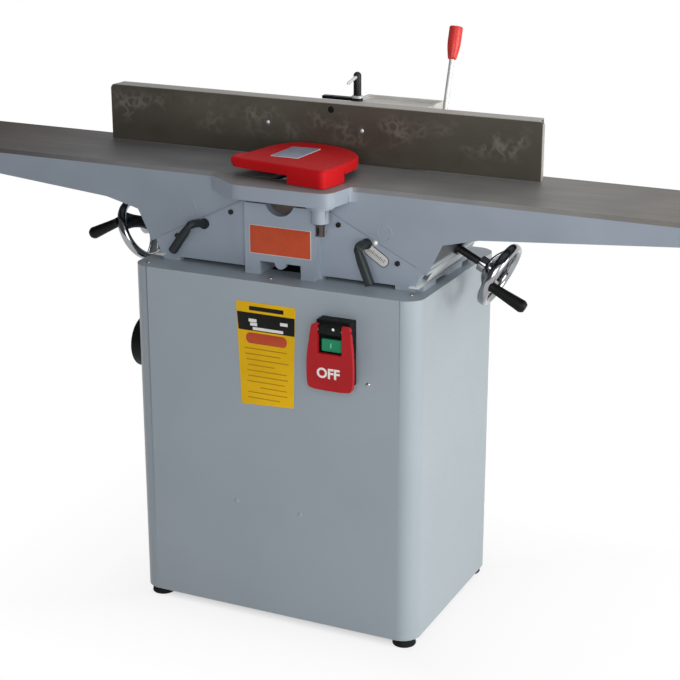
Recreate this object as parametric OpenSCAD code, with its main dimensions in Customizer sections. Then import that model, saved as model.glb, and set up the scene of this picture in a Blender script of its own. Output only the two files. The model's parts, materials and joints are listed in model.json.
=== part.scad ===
// Eight inch jointer on a sheet metal cabinet stand.
// Millimetres. X runs along the tables (infeed to the right), Y to the back, Z up from the floor.

/* [Stand] */
// width of the cabinet along the tables
cabinet_w = 570; // [540:1:640]
// depth of the cabinet, front to back
cabinet_d = 388; // [370:1:440]
// height of the cabinet above its feet
cabinet_h = 648; // [600:1:720]
// outside radius of the upright cabinet corners
corner_r = 35; // [20:1:60]
// thickness of the cabinet sheet
sheet_t = 2; // [1:0.1:3]
// width of the flange turned in at the bottom of the cabinet
flange_w = 62; // [50:1:80]
// diameter of a rubber foot
foot_d = 44; // [36:1:46]
// height of a rubber foot
foot_h = 18; // [10:1:30]
// distance of a foot from the sides of the cabinet
foot_inset = 29; // [27:1:38]
// radius of a foot bolt
foot_bolt_r = 4; // [3:0.5:6]
// width of the access opening in the back of the cabinet
door_opening_w = 400; // [300:1:440]
// height of the access opening
door_opening_h = 420; // [300:1:470]
// height of the access opening above the cabinet bottom
door_rise = 70; // [40:1:100]
// overlap of the access panel round its opening
door_lap = 18; // [12:1:26]

/* [Bed] */
// height of the table tops above the cabinet
bed_h = 174; // [160:1:200]
// half the length of the bed casting at its foot
bed_half = 251; // [240:1:264]
// half the length of the bed casting at the low end of the ways
way_end_x = 266; // [262:1:275]
// distance of the inner end of the ways from the cutter axis
way_in_x = 60; // [57:1:70]
// distance below the table top of the ways, at the place where way_x is measured
way_drop = 60; // [56:0.5:66]
// place at which the way height is measured
way_x = 108; // [100:1:116]
// slope of the ways
way_angle = 26.4; // [24:0.1:28]
// thickness of the walls of the bed casting
bed_wall = 16; // [13:0.5:20]
// thickness of the way floor under the dovetail
way_floor = 12; // [8:0.5:16]
// width of the raised front of the bed
pedestal_w = 141; // [130:1:150]
// height of the raised front of the bed
pedestal_h = 130; // [116:1:132]
// how far the raised front stands out
pedestal_t = 18; // [12:0.5:20]
// width of the opening at the foot of the bed front
bed_opening_w = 82; // [60:1:100]
// height of that opening
bed_opening_h = 25; // [14:1:32]
// height of the gaps between the feet of the bed
bed_gap_h = 7; // [4:0.5:9]
// how far the foot of the bed stands out at its ends
bed_flange = 16; // [10:1:18]
// thickness of that foot
bed_flange_t = 9; // [7:0.5:10]

/* [Tables] */
// overall length of the two tables
table_l = 1830; // [1600:1:2000]
// width of the tables
table_w = 222.5; // [215:0.5:236]
// distance of the table front edge from the cabinet middle
table_front = 132; // [126:0.5:138]
// thickness of the table plate
table_t = 18; // [14:0.5:20]
// thickness of the table skirts
skirt_t = 12; // [8:0.5:14]
// height of the skirt at the far end of a table
skirt_end_h = 24; // [22:1:34]
// height of the skirt where it meets the saddle
skirt_root_h = 69; // [62:1:74]
// place along the table where the skirt is at its root height
skirt_root_x = 370; // [345:1:400]
// distance from the cutter axis to a table lip
lip_x = 28; // [26:0.5:30]
// distance from the cutter axis to the inner end of a skirt
skirt_in_x = 52; // [49:0.5:54]
// length of a saddle along the way, from the place where way_x is measured
saddle_l = 186; // [180:1:192]
// depth of the dovetail
dove_h = 20; // [16:0.5:22]
// width of the dovetail at its neck
dove_w = 155; // [140:1:162]
// distance of the dovetail neck from the table front
dove_inset = 38; // [36:0.5:42]
// lean of the dovetail flanks from upright
dove_angle = 30; // [25:1:33]
// thickness of the gib strip
gib_t = 6; // [4:0.5:7]
// thickness of the saddle floor
saddle_t = 12; // [9:0.5:14]
// height of the outer end of a saddle above the way
saddle_end_h = 64; // [58:1:68]
// deepest cut, the drop of the infeed table
cut_depth = 12.7; // [8:0.1:13]

/* [Rabbeting ledge and guard] */
// distance the ledge stands out in front of the tables
ledge_out = 74; // [66:1:80]
// thickness of the ledge
ledge_t = 26; // [20:0.5:28]
// reach of the ledge to the left of the cutter axis
ledge_left = 130; // [118:1:140]
// reach of the ledge to the right of the cutter axis
ledge_right = 146; // [138:1:156]
// place of the guard pivot along the tables
pivot_x = 86; // [78:1:92]
// distance of the guard pivot in front of the tables
pivot_out = 31; // [27:1:36]
// height of the guard top above the table
guard_top = 33; // [31:0.5:38]
// height of the guard underside above the table
guard_clear = 15.5; // [15:0.5:18]
// radius of the guard spindle
spindle_r = 8; // [6:0.5:10]
// length of the spindle boss below the ledge
boss_l = 36; // [28:1:42]

/* [Cutterhead] */
// radius of the circle of the knife edges
knife_circle_r = 39; // [38.6:0.1:40]
// radius of the cutterhead body
cutter_r = 37.5; // [36.5:0.1:38]
// radius of the cutterhead journals
journal_r = 12.5; // [10:0.5:14]
// radius of a bearing block
block_r = 34.5; // [33:0.5:36]
// outside radius of a bearing
bearing_r = 26; // [22:0.5:28]
// width of a bearing
bearing_w = 13; // [10:0.5:14]
// thickness of a bed upright, along the cutter axis
upright_t = 18.5; // [17:0.5:19.5]
// thickness of a knife
knife_t = 3; // [2:0.5:4]
// thickness of a knife wedge
wedge_t = 8.5; // [7:0.5:10]
// number of knives
knife_count = 3; // [2:1:4]

/* [Drive] */
// outside radius of the cutterhead pulley
small_pulley_r = 33; // [30:0.5:36]
// outside radius of the motor pulley
big_pulley_r = 52; // [44:0.5:60]
// width of the pulleys
pulley_w = 22; // [18:0.5:25]
// width of the belt
belt_w = 9; // [7:0.5:11]
// thickness of the belt
belt_t = 8; // [6:0.5:9]
// height of the motor axis above the cabinet bottom
motor_rise = 326; // [290:1:350]
// radius of the motor body
motor_r = 82; // [70:1:90]
// length of the motor body
motor_l = 200; // [160:1:215]
// radius of the motor shaft
motor_shaft_r = 11; // [8:0.5:13]
// thickness of the motor shelf
shelf_t = 5; // [3:0.5:8]

/* [Fence] */
// length of the fence
fence_l = 880; // [800:1:960]
// distance of the middle of the fence from the cutter axis, to the left
fence_shift = 22; // [0:1:60]
// height of the fence
fence_h = 108; // [100:1:116]
// gap between the fence and the tables
fence_rise = 1; // [0.8:0.1:2]
// thickness of the fence plate
fence_t = 10; // [8:0.5:12]
// distance of the fence face behind the table front edge
fence_set = 171.5; // [171.5:0.5:178]
// depth of the top flange, from the fence face
flange_depth = 33; // [26:0.5:36]
// thickness of the top flange
flange_t = 9; // [7:0.5:11]
// radius of the fence corners
fence_corner_r = 10; // [6:0.5:14]
// radius of the hinge pin
hinge_pin_r = 5; // [4:0.5:6]
// radius of the hinge knuckles
knuckle_r = 10; // [9:0.5:11]
// height of the carriage top above the tables
carriage_h = 92; // [90:1:98]
// left end of the carriage
carriage_left = -3; // [-6:1:3]
// right end of the carriage
carriage_right = 175; // [166:1:184]

/* [Handwheels and levers] */
// radius of a handwheel to the middle of its rim
wheel_r = 55; // [50:1:60]
// radius of the rim section
rim_r = 7; // [5:0.5:9]
// height of the lead screws above the ways
screw_rise = 28.3; // [27:0.1:31]
// radius of the lead screws
screw_r = 7; // [6:0.5:8]
// distance of the wheel middle down the way
wheel_place = 276; // [262:1:290]
// length of a handwheel grip
grip_l = 72; // [60:1:85]
// distance of a lock lever from the bed front
lever_out = 40; // [30:1:46]
// length of the rod of the carriage lever
rod_l = 139; // [110:1:140]
// length of the red grip on that rod
red_grip_l = 61; // [50:1:62]

/* [Switch and dust port] */
// width of the switch box
switch_w = 66; // [60:1:76]
// height of the switch box
switch_h = 120; // [110:1:130]
// depth of the switch box
switch_d = 26; // [22:1:32]
// place of the switch along the cabinet front
switch_x = 138; // [120:1:160]
// height of the switch middle below the cabinet top
switch_drop = 104; // [90:1:130]
// width of the red paddle
paddle_w = 89; // [84:1:100]
// height of the red paddle
paddle_h = 120; // [110:1:126]
// thickness of the paddle
paddle_t = 8; // [6:0.5:10]
// space between the switch box and the paddle
paddle_gap = 7; // [6.5:0.5:9]
// outside radius of the dust port
port_r = 50; // [44:0.5:54]
// length of the dust port outside the cabinet
port_l = 52; // [40:1:70]
// distance of the dust port in front of the cabinet middle
port_front = 73; // [60:1:80]
// height of the dust port above the cabinet bottom
port_rise = 460; // [446:1:476]

/* [Hidden] */
$fn = 48;
// radial room of a turning fit
fit = 0.05;
// room between sliding flats
slip = 0.1;
// room round parts that must never touch
room = 2;
// overlap of solids that are joined or cut
lap = 1;
// thickness of small sheet pieces
thin = 3;
// radius and head size of the bolts
bolt_r = 5;
bolt_head_r = 9;
bolt_head_h = 6;
screw_small_r = 3;

cab_z = foot_h;
cab_top = foot_h + cabinet_h;
cab_x = cabinet_w / 2;
cab_y = cabinet_d / 2;
inner_x = cab_x - sheet_t;
inner_y = cab_y - sheet_t;
table_z = cab_top + bed_h;
table_y0 = -table_front;
table_y1 = table_w - table_front;
table_x = table_l / 2;

// height of the ways at a place along the bed
function way_z(x) = table_z - way_drop - (x - way_x) * tan(way_angle);
// the same surface, lifted square to itself
function lifted_z(x, up) = way_z(x) + up / cos(way_angle);

cutter_z = table_z - knife_circle_r;
scoop_r = knife_circle_r + room + room;
drum_y0 = table_y0 + upright_t + room;
drum_y1 = table_y1;
rear_y0 = table_y1 + room;
bed_back = rear_y0 + upright_t;
seat_wall = 7.5;
seat_half = block_r + seat_wall;
bed_front = table_y0;
bed_depth = bed_back - bed_front;
pedestal_y = bed_front - pedestal_t;
pulley_y0 = bed_back + 2 * room;
pulley_y1 = pulley_y0 + pulley_w;
belt_y = pulley_y0 + pulley_w / 2;

dove_y0 = table_y0 + dove_inset;
dove_y1 = dove_y0 + dove_w;
undercut = dove_h * tan(dove_angle);
gib_y = gib_t / cos(dove_angle);
channel_h = dove_h + room / 4;
channel_cut = channel_h * tan(dove_angle);
screw_y = (table_y0 + table_y1) / 2;
nut_half_share = 0.45;
nut_half = nut_half_share * screw_rise;
nut_l = 30;
nut_share = 0.5;
nut_x = nut_share * saddle_l;
way_top_l = (way_x - way_in_x) / cos(way_angle);
way_travel = cut_depth / sin(way_angle);
gib_n = -dove_h / 2;
gib_shares = [-0.04, 0.88];
gib_x = gib_shares[0] * saddle_l;
gib_l = (gib_shares[1] - gib_shares[0]) * saddle_l;
gib_screw_shares = [0.02, 0.7];
lock_share = 0.35;
rib_shares = [0.52, 0.66, 0.83];
lock_x = lock_share * saddle_l;
lock_r = 6;
lever_turn = [-70, -60];
lever_share = 0.94;

skirt_low = [
  [table_x, table_z - skirt_end_h],
  [skirt_root_x, table_z - skirt_root_h]
];
saddle_top_x = way_x + saddle_l * cos(way_angle) + saddle_end_h * sin(way_angle);
saddle_top_z = table_z - way_drop - saddle_l * sin(way_angle) + saddle_end_h * cos(way_angle);
saddle_low_x = way_x + saddle_l * cos(way_angle) + slip * sin(way_angle);
saddle_low_z = table_z - way_drop - saddle_l * sin(way_angle) + slip * cos(way_angle);
// where the inner face of the saddle's end wall meets the table plate
wall_down = saddle_l - bed_wall;
wall_up = (way_drop - table_t + wall_down * sin(way_angle)) / cos(way_angle);
wall_x = way_x + wall_down * cos(way_angle) + wall_up * sin(way_angle);

pivot_y = table_y0 - pivot_out;
ledge_z = table_z - ledge_t;
boss_r = 2 * spindle_r;
hub_z = table_z + room / 2;
guard_z0 = table_z + guard_clear;
guard_z1 = table_z + guard_top;

fence_y = table_y0 + fence_set;
fence_z0 = table_z + fence_rise;
fence_z1 = table_z + fence_h;
fence_x0 = -fence_shift - fence_l / 2;
fence_x1 = fence_l / 2 - fence_shift;
plate_y = fence_y + fence_t;
bracket_t = 8;
hinge_y = plate_y + knuckle_r;
hinge_z = fence_z0 + knuckle_r + 2 * room;
bracket_shares = [-0.16, 0.12];
bracket_x0 = bracket_shares[0] * fence_l;
bracket_x1 = bracket_shares[1] * fence_l;
face_screw_shares = [-0.136, 0.083];
face_screw_xs = [for (s = face_screw_shares) s * fence_l];
face_screw_h_share = 0.58;
face_screw_z = table_z + face_screw_h_share * fence_h;
face_screw_r = 4;
face_head_r = 8;
knuckle_l = 24;
knuckle_a = carriage_left;
knuckle_b = carriage_right - knuckle_l;

switch_z = cab_top - switch_drop;
switch_y = -cab_y - switch_d;
paddle_y1 = switch_y - paddle_gap;
paddle_y0 = paddle_y1 - paddle_t;
paddle_z = switch_z - 0.03 * switch_h;
paddle_top = paddle_z + paddle_h / 2;
paddle_pin_r = 2.5;
paddle_pin_z = paddle_top - 0.08 * paddle_h;
paddle_pin_y = paddle_y1 - paddle_t / 2;
slot_half = 0.26 * paddle_w;
button_r = 0.2 * paddle_w;
button_half_h = 0.64 * button_r;
button_z = paddle_z + 0.18 * paddle_h;
button_y = paddle_y1 - paddle_t / 4;

carriage_z0 = table_z + 3 * room;
carriage_z1 = table_z + carriage_h;
carriage_back = -paddle_y0;
tray_y = hinge_y + 0.8 * fence_h;
support_x0 = 0.33 * carriage_right;
support_x1 = 0.82 * carriage_right;
support_z1 = carriage_z0 - slip;
support_t = 24;
support_z0 = support_z1 - support_t;
support_y0 = table_y1 + 12 * room;
key_x = (support_x0 + support_x1) / 2;
key_w = 0.3 * (support_x1 - support_x0);
key_h = 5 * room;
key_lean = 0.2 * key_w;
support_foot_t = 16;
support_foot_z = cab_top + 3 * bed_gap_h;

motor_z = cab_z + motor_rise;
shelf_z = motor_z - motor_r - 2 * shelf_t;
motor_y1 = pulley_y0 - 4 * room;
motor_y0 = motor_y1 - motor_l;
groove_t = belt_t + room / 2;
// the belt runs clear of the pulleys by this much
belt_room = 0.45;
small_in = small_pulley_r - groove_t + belt_room;
big_in = big_pulley_r - groove_t + belt_room;

port_y = -port_front;
port_z = cab_z + port_rise;
throat_half = seat_half;
post_x = carriage_left + 0.06 * (carriage_right - carriage_left);
post_y = tray_y + 0.16 * (carriage_back - tray_y);
post_r = 7.5;
post_h = 55;
lever_hub_y = tray_y + 0.075 * carriage_back;
lever_hub_z = carriage_z1 - 0.33 * carriage_h;
lever_back = 18.5;

// Helpers

module box(x0, x1, y0, y1, z0, z1) {
  translate([x0, y0, z0]) cube([x1 - x0, y1 - y0, z1 - z0]);
}

module rod_x(x0, x1, y, z, r) {
  translate([x0, y, z]) rotate([0, 90, 0]) cylinder(h = x1 - x0, r = r);
}

module rod_y(x, y0, y1, z, r) {
  translate([x, y1, z]) rotate([90, 0, 0]) cylinder(h = y1 - y0, r = r);
}

module rod_z(x, y, z0, z1, r) {
  translate([x, y, z0]) cylinder(h = z1 - z0, r = r);
}

// a polygon given in X and Z, drawn out along Y
module slab_y(points, y0, y1) {
  translate([0, y1, 0]) rotate([90, 0, 0]) linear_extrude(height = y1 - y0) polygon(points);
}

// a polygon given in Y and Z, drawn out along X
module slab_x(points, x0, x1) {
  translate([x0, 0, 0]) rotate([90, 0, 90]) linear_extrude(height = x1 - x0) polygon(points);
}

module slab_z(points, z0, z1) {
  translate([0, 0, z0]) linear_extrude(height = z1 - z0) polygon(points);
}

// An outline with its corners rounded. Each point is [x, y, share]: the rounding starts that share of
// the way to each neighbour, and bends round the corner as a parabola.
round_steps = 5;
function bend(a, b, c, t) = (1 - t) * (1 - t) * a + 2 * t * (1 - t) * b + t * t * c;
function flat(p) = [p[0], p[1]];
function rounded(points) = [
  for (i = [0:len(points) - 1])
    let (b = flat(points[i]), s = points[i][2], n = len(points),
      a = b + s * (flat(points[(i + n - 1) % n]) - b), c = b + s * (flat(points[(i + 1) % n]) - b))
    for (k = [0:round_steps]) if (s > 0 || k == 0) bend(a, b, c, k / round_steps)
];

// rectangle with rounded corners, about the origin
module round_rect(w, d, r) {
  square([w - 2 * r, d], center = true);
  square([w, d - 2 * r], center = true);
  for (i = [-1, 1], j = [-1, 1])
    translate([i * (w / 2 - r), j * (d / 2 - r)]) circle(r = r);
}

// frame of the infeed way: x runs down the slope, z stands square to the way
module on_way() {
  translate([way_x, 0, table_z - way_drop]) rotate([0, way_angle, 0]) children();
}

module opposite() {
  mirror([1, 0, 0]) children();
}

// Stand

module cabinet() {
  color([0.54, 0.58, 0.61]) difference() {
    translate([0, 0, cab_z]) linear_extrude(height = cabinet_h)
      round_rect(cabinet_w, cabinet_d, corner_r);
    translate([0, 0, cab_z + sheet_t]) linear_extrude(height = cabinet_h - 2 * sheet_t)
      round_rect(cabinet_w - 2 * sheet_t, cabinet_d - 2 * sheet_t, corner_r - sheet_t);
    box(-cab_x + flange_w, cab_x - flange_w, -cab_y + flange_w, cab_y - flange_w,
      cab_z - lap, cab_z + sheet_t + lap);
    box(-throat_half, throat_half, drum_y0, drum_y1, cab_top - sheet_t - lap, cab_top + lap);
    box(-big_pulley_r, big_pulley_r, pulley_y0, pulley_y1, cab_top - sheet_t - lap, cab_top + lap);
    rod_x(-cab_x - lap, -inner_x + lap, port_y, port_z, port_r - thin + fit);
    box(-door_opening_w / 2, door_opening_w / 2, inner_y - lap, cab_y + lap,
      cab_z + door_rise, cab_z + door_rise + door_opening_h);
    door_screw_places() rod_y(0, inner_y - lap, cab_y + lap, 0, screw_small_r + fit);
    foot_places() rod_z(0, 0, cab_z - lap, cab_z + sheet_t + lap, foot_bolt_r + fit);
    bed_bolt_places() rod_z(0, 0, cab_top - sheet_t - lap, cab_top + lap, bolt_r + fit);
    rod_y(gland_x, inner_y - lap, cab_y + lap, gland_z, gland_r + fit);
  }
}

gland_x = 0.43 * cabinet_w;
gland_z = cab_z + 0.5 * door_rise;
gland_r = 9;

door_screw_shares = [0, 0.5, 1];

module door_screw_places() {
  for (i = [-1, 1], s = door_screw_shares)
    translate([i * (door_opening_w + door_lap) / 2, 0, cab_z + door_rise + s * door_opening_h])
      children();
}

module foot_places() {
  for (i = [-1, 1], j = [-1, 1])
    translate([i * (cab_x - foot_inset), j * (cab_y - foot_inset), 0]) children();
}

module bed_bolt_places() {
  for (i = [-1, 1], y = [bed_front + bed_wall / 2, bed_back - bed_wall / 2])
    translate([i * (0.9 * bed_half), y, 0]) children();
}

module rear_door() {
  color([0.54, 0.58, 0.61]) difference() {
    box(-door_opening_w / 2 - door_lap, door_opening_w / 2 + door_lap, cab_y, cab_y + sheet_t,
      cab_z + door_rise - door_lap, cab_z + door_rise + door_opening_h + door_lap);
    door_screw_places() rod_y(0, cab_y - lap, cab_y + sheet_t + lap, 0, screw_small_r + fit);
    for (k = [1:5])
      box(-door_opening_w / 4, door_opening_w / 4, cab_y - lap, cab_y + sheet_t + lap,
        cab_z + door_rise + k * door_opening_h / 12,
        cab_z + door_rise + k * door_opening_h / 12 + 2 * thin);
  }
}

module door_screws() {
  color([0.7, 0.7, 0.7]) door_screw_places() {
    rod_y(0, inner_y - 2 * thin, cab_y + sheet_t + lap, 0, screw_small_r);
    rod_y(0, cab_y + sheet_t, cab_y + sheet_t + thin, 0, 2 * screw_small_r);
  }
}

module rubber_feet() {
  color([0.06, 0.06, 0.06]) foot_places() difference() {
    cylinder(h = foot_h, r1 = foot_d / 2, r2 = 0.45 * foot_d);
    rod_z(0, 0, foot_h / 3, foot_h + lap, foot_bolt_r + fit);
  }
}

module foot_bolts() {
  color([0.6, 0.6, 0.62]) foot_places() {
    rod_z(0, 0, foot_h / 3, cab_z + sheet_t + thin, foot_bolt_r);
    rod_z(0, 0, cab_z + sheet_t, cab_z + sheet_t + bolt_head_h, 2 * foot_bolt_r, $fn = 6);
  }
}

module dust_chute() {
  chute_top = cab_top - sheet_t;
  chute_low = port_z - port_r - 2 * thin;
  chute_x = throat_half + thin;
  color([0.62, 0.64, 0.66]) {
    slab_y([[-inner_x, chute_low], [chute_x, chute_top - 4 * thin], [chute_x, chute_top],
      [chute_x - thin, chute_top], [chute_x - thin, chute_top - 3 * thin],
      [-inner_x, chute_low + thin]], drum_y0 - thin, drum_y1 + thin);
    for (y = [drum_y0 - thin, drum_y1])
      slab_y([[-inner_x, chute_low], [chute_x, chute_top - 4 * thin], [chute_x, chute_top],
        [-chute_x, chute_top], [-inner_x, port_z + port_r]], y, y + thin);
  }
}

module dust_port() {
  plate_r = port_r + 5 * thin;
  color([0.07, 0.07, 0.07]) difference() {
    union() {
      rod_x(-cab_x - port_l, -cab_x, port_y, port_z, port_r);
      rod_x(-cab_x - thin, -cab_x, port_y, port_z, plate_r);
    }
    rod_x(-cab_x - port_l - lap, -cab_x + lap, port_y, port_z, port_r - thin);
  }
}

module switch_box() {
  lug_half = slot_half - room;
  color([0.05, 0.05, 0.05]) difference() {
    union() {
      box(switch_x - switch_w / 2, switch_x + switch_w / 2, switch_y, -cab_y,
        switch_z - switch_h / 2, switch_z + switch_h / 2);
      box(switch_x - lug_half, switch_x + lug_half, paddle_y0, switch_y + lap,
        paddle_pin_z - 3 * paddle_pin_r, paddle_pin_z + 3 * paddle_pin_r);
    }
    rod_x(switch_x - paddle_w, switch_x + paddle_w, paddle_pin_y, paddle_pin_z, paddle_pin_r + fit);
    rod_y(switch_x, switch_y - lap, switch_y + switch_d / 2, button_z, button_r / 2 + fit);
  }
}

// round the paddle: shares of its width, of its height from the bottom, and of rounding
paddle_shares = [[-0.43, 0, 0.4], [0.43, 0, 0.4], [0.5, 0.09, 0.4], [0.5, 0.5, 0.3], [0.43, 1, 0.1],
  [-0.39, 1, 0.1], [-0.5, 0.5, 0.3], [-0.5, 0.09, 0.4]];

module switch_paddle() {
  low = paddle_top - paddle_h;
  color([0.8, 0.1, 0.12]) difference() {
    slab_y(rounded([for (s = paddle_shares) [switch_x + s[0] * paddle_w, low + s[1] * paddle_h, s[2]]]),
      paddle_y0, paddle_y1);
    box(switch_x - slot_half, switch_x + slot_half, paddle_y0 - lap, paddle_y1 + lap,
      button_z - button_half_h - 1.5 * room, paddle_top + lap);
    rod_x(switch_x - paddle_w, switch_x + paddle_w, paddle_pin_y, paddle_pin_z, paddle_pin_r + fit);
  }
}

module paddle_pin() {
  color([0.75, 0.75, 0.75])
    rod_x(switch_x - 0.38 * paddle_w, switch_x + 0.38 * paddle_w, paddle_pin_y, paddle_pin_z,
      paddle_pin_r);
}

module start_button() {
  color([0.1, 0.55, 0.35]) {
    box(switch_x - button_r, switch_x + button_r, button_y, switch_y - paddle_gap / 2,
      button_z - button_half_h, button_z + button_half_h);
    rod_y(switch_x, button_y + lap, switch_y + switch_d / 4, button_z, button_r / 2);
  }
}

module cable_gland() {
  color([0.05, 0.05, 0.05]) {
    rod_y(gland_x, inner_y - 4 * thin, cab_y + lap, gland_z, gland_r);
    rod_y(gland_x, cab_y, cab_y + 4 * thin, gland_z, 1.5 * gland_r);
  }
}

// Bed

module bed_profile_half() {
  shoulder = table_z - way_drop + bed_gap_h;
  slab_y([[0, cab_top], [bed_half, cab_top], [way_end_x, way_z(way_end_x)],
    [way_in_x, way_z(way_in_x)], [way_in_x, shoulder], [seat_half, shoulder],
    [seat_half, cutter_z], [0, cutter_z]], bed_front, bed_back);
}

// the female dovetail, cut along the whole way
module way_channel() {
  front = dove_y0 - slip - gib_y;
  rear = dove_y1 + slip;
  on_way() slab_x([[front, 0], [front - channel_cut, -channel_h], [rear + channel_cut, -channel_h],
    [rear, 0], [rear, dove_h], [front, dove_h]], -way_top_l - way_travel, saddle_l + way_travel);
}

module bed_cavity() {
  deep = -channel_h - way_floor;
  end_x = bed_half - bed_wall;
  in_x = throat_half + bed_wall;
  slab_y([[in_x, cab_top - lap], [end_x, cab_top - lap], [end_x, lifted_z(end_x, deep)],
    [in_x, lifted_z(in_x, deep)]], bed_front + bed_wall, bed_back - bed_wall);
}

// middle and half width of a gap between the feet
gap_shares = [0.58, 0.28];
// where the gaps in the bed ends begin and end, of the depth of the bed
end_gap_shares = [[0.26, 0.5], [0.78, 0.93]];

module lip_bores() {
  on_way() {
    for (s = gib_screw_shares)
      rod_y(s * saddle_l, bed_front - lap, dove_y0, gib_n, screw_small_r + fit);
    rod_y(lock_x, bed_front - lap, dove_y0, gib_n, lock_r + fit);
  }
}

module bed_casting() {
  color([0.54, 0.58, 0.61]) difference() {
    union() {
      bed_profile_half();
      opposite() bed_profile_half();
      box(-pedestal_w / 2, pedestal_w / 2, pedestal_y, bed_front + lap, cab_top, cab_top + pedestal_h);
      box(-bed_half - bed_flange, bed_half + bed_flange, bed_front + bed_gap_h, bed_back - bed_gap_h,
        cab_top, cab_top + bed_flange_t);
    }
    way_channel();
    opposite() way_channel();
    bed_cavity();
    opposite() bed_cavity();
    lip_bores();
    opposite() lip_bores();
    box(-throat_half, throat_half, drum_y0 - room, rear_y0, cab_top - lap, table_z);
    rod_y(0, bed_front, bed_back + lap, cutter_z, block_r + fit);
    rod_y(0, pedestal_y - lap, bed_front + lap, cutter_z + 0.15 * block_r, 0.86 * block_r);
    box(-bed_opening_w / 2, bed_opening_w / 2, pedestal_y - lap, bed_front + 2 * upright_t,
      cab_top - lap, cab_top + bed_opening_h);
    for (i = [-1, 1])
      box((i * gap_shares[0] - gap_shares[1]) * bed_half, (i * gap_shares[0] + gap_shares[1]) * bed_half,
        bed_front - lap, bed_front + bed_wall + lap, cab_top - lap, cab_top + bed_gap_h);
    for (i = [-1, 1], s = end_gap_shares)
      box(i * bed_half - bed_wall - bed_flange, i * bed_half + bed_wall + bed_flange,
        bed_front + s[0] * bed_depth, bed_front + s[1] * bed_depth, cab_top - lap, cab_top + bed_gap_h);
    bed_bolt_places() rod_z(0, 0, cab_top - lap, cab_top + 4 * bolt_r, bolt_r + fit);
    support_bolt_places() rod_y(0, bed_back - 0.8 * bed_wall, bed_back + lap, 0, bolt_r + fit);
  }
}

module bed_bolts() {
  color([0.5, 0.5, 0.52]) bed_bolt_places() {
    rod_z(0, 0, cab_top - sheet_t - lap, cab_top + 3.6 * bolt_r, bolt_r);
    rod_z(0, 0, cab_top - sheet_t - bolt_head_h, cab_top - sheet_t, bolt_head_r, $fn = 6);
  }
}

module bearing_block_front() {
  front = bed_front + slip;
  color([0.16, 0.15, 0.15]) difference() {
    rod_y(0, front, drum_y0 - room, cutter_z, block_r);
    rod_y(0, front + thin, drum_y0, cutter_z, bearing_r + fit);
  }
}

module bearing_block_rear() {
  color([0.16, 0.15, 0.15]) difference() {
    rod_y(0, rear_y0, bed_back, cutter_z, block_r);
    rod_y(0, rear_y0 - lap, bed_back - thin, cutter_z, bearing_r + fit);
    rod_y(0, rear_y0 - lap, bed_back + lap, cutter_z, journal_r + room);
  }
}

module bearing_ring(y0) {
  difference() {
    rod_y(0, y0, y0 + bearing_w, cutter_z, bearing_r);
    rod_y(0, y0 - lap, y0 + bearing_w + lap, cutter_z, journal_r + fit);
  }
}

module cutter_bearings() {
  color([0.7, 0.7, 0.7]) {
    bearing_ring(bed_front + slip + thin);
    bearing_ring(bed_back - thin - bearing_w);
  }
}

// Cutterhead

module knife_frames() {
  translate([0, 0, cutter_z])
    for (k = [0:knife_count - 1]) rotate([0, k * 360 / knife_count, 0]) children();
}

slot_deep = cutter_r / 2;
wedge_screw_shares = [0.1, 0.37, 0.63, 0.9];
knife_y1 = drum_y1 - thin;
knife_y0 = drum_y0 + thin;

module cutterhead() {
  color([0.55, 0.55, 0.56]) difference() {
    union() {
      rod_y(0, drum_y0, drum_y1, cutter_z, cutter_r);
      rod_y(0, bed_front + slip + thin + room, drum_y0 + lap, cutter_z, journal_r);
      rod_y(0, drum_y1 - lap, pulley_y1 + room, cutter_z, journal_r);
    }
    knife_frames() box(-knife_t / 2, knife_t / 2 + wedge_t, drum_y0 - lap, drum_y1 + lap,
      slot_deep, 2 * cutter_r);
  }
}

module knives() {
  color([0.75, 0.75, 0.76]) knife_frames()
    box(-knife_t / 2, knife_t / 2, knife_y0, knife_y1, slot_deep, sqrt(pow(knife_circle_r, 2)
      - pow(knife_t / 2, 2)));
}

module wedge_screw_places() {
  for (s = wedge_screw_shares)
    translate([0, knife_y0 + s * (knife_y1 - knife_y0), 0.76 * cutter_r]) children();
}

module knife_wedges() {
  wedge_z = 0.92 * cutter_r;
  color([0.45, 0.45, 0.46]) knife_frames() difference() {
    box(knife_t / 2, knife_t / 2 + wedge_t, knife_y0, knife_y1, slot_deep, wedge_z);
    wedge_screw_places() rod_x(knife_t / 2 + wedge_t / 3, wedge_t + knife_t, 0, 0, screw_small_r + fit);
  }
}

module wedge_screws() {
  color([0.2, 0.2, 0.2]) knife_frames() wedge_screw_places()
    rod_x(knife_t / 2 + wedge_t / 3, knife_t / 2 + wedge_t, 0, 0, screw_small_r);
}

module pulley(r, bore) {
  rotate([90, 0, 0]) rotate_extrude() polygon([[bore, -pulley_w / 2], [r, -pulley_w / 2],
    [r, -belt_w / 2 - thin], [r - groove_t, -belt_w / 2 - belt_room],
    [r - groove_t, belt_w / 2 + belt_room], [r, belt_w / 2 + thin],
    [r, pulley_w / 2], [bore, pulley_w / 2]]);
}

module cutterhead_pulley() {
  color([0.4, 0.4, 0.42]) translate([0, belt_y, cutter_z]) pulley(small_pulley_r, journal_r);
}

module motor_pulley() {
  color([0.4, 0.4, 0.42]) translate([0, belt_y, motor_z]) pulley(big_pulley_r, motor_shaft_r);
}

// flat loop round two circles, one above the other
module loop(ra, rb, far) {
  hull() {
    translate([0, far]) circle(r = ra);
    circle(r = rb);
  }
}

module drive_belt() {
  far = cutter_z - motor_z;
  color([0.08, 0.08, 0.08])
    translate([0, belt_y + belt_w / 2, motor_z]) rotate([90, 0, 0])
    linear_extrude(height = belt_w) difference() {
      loop(small_in + belt_t, big_in + belt_t, far);
      loop(small_in, big_in, far);
    }
}

// Motor

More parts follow.
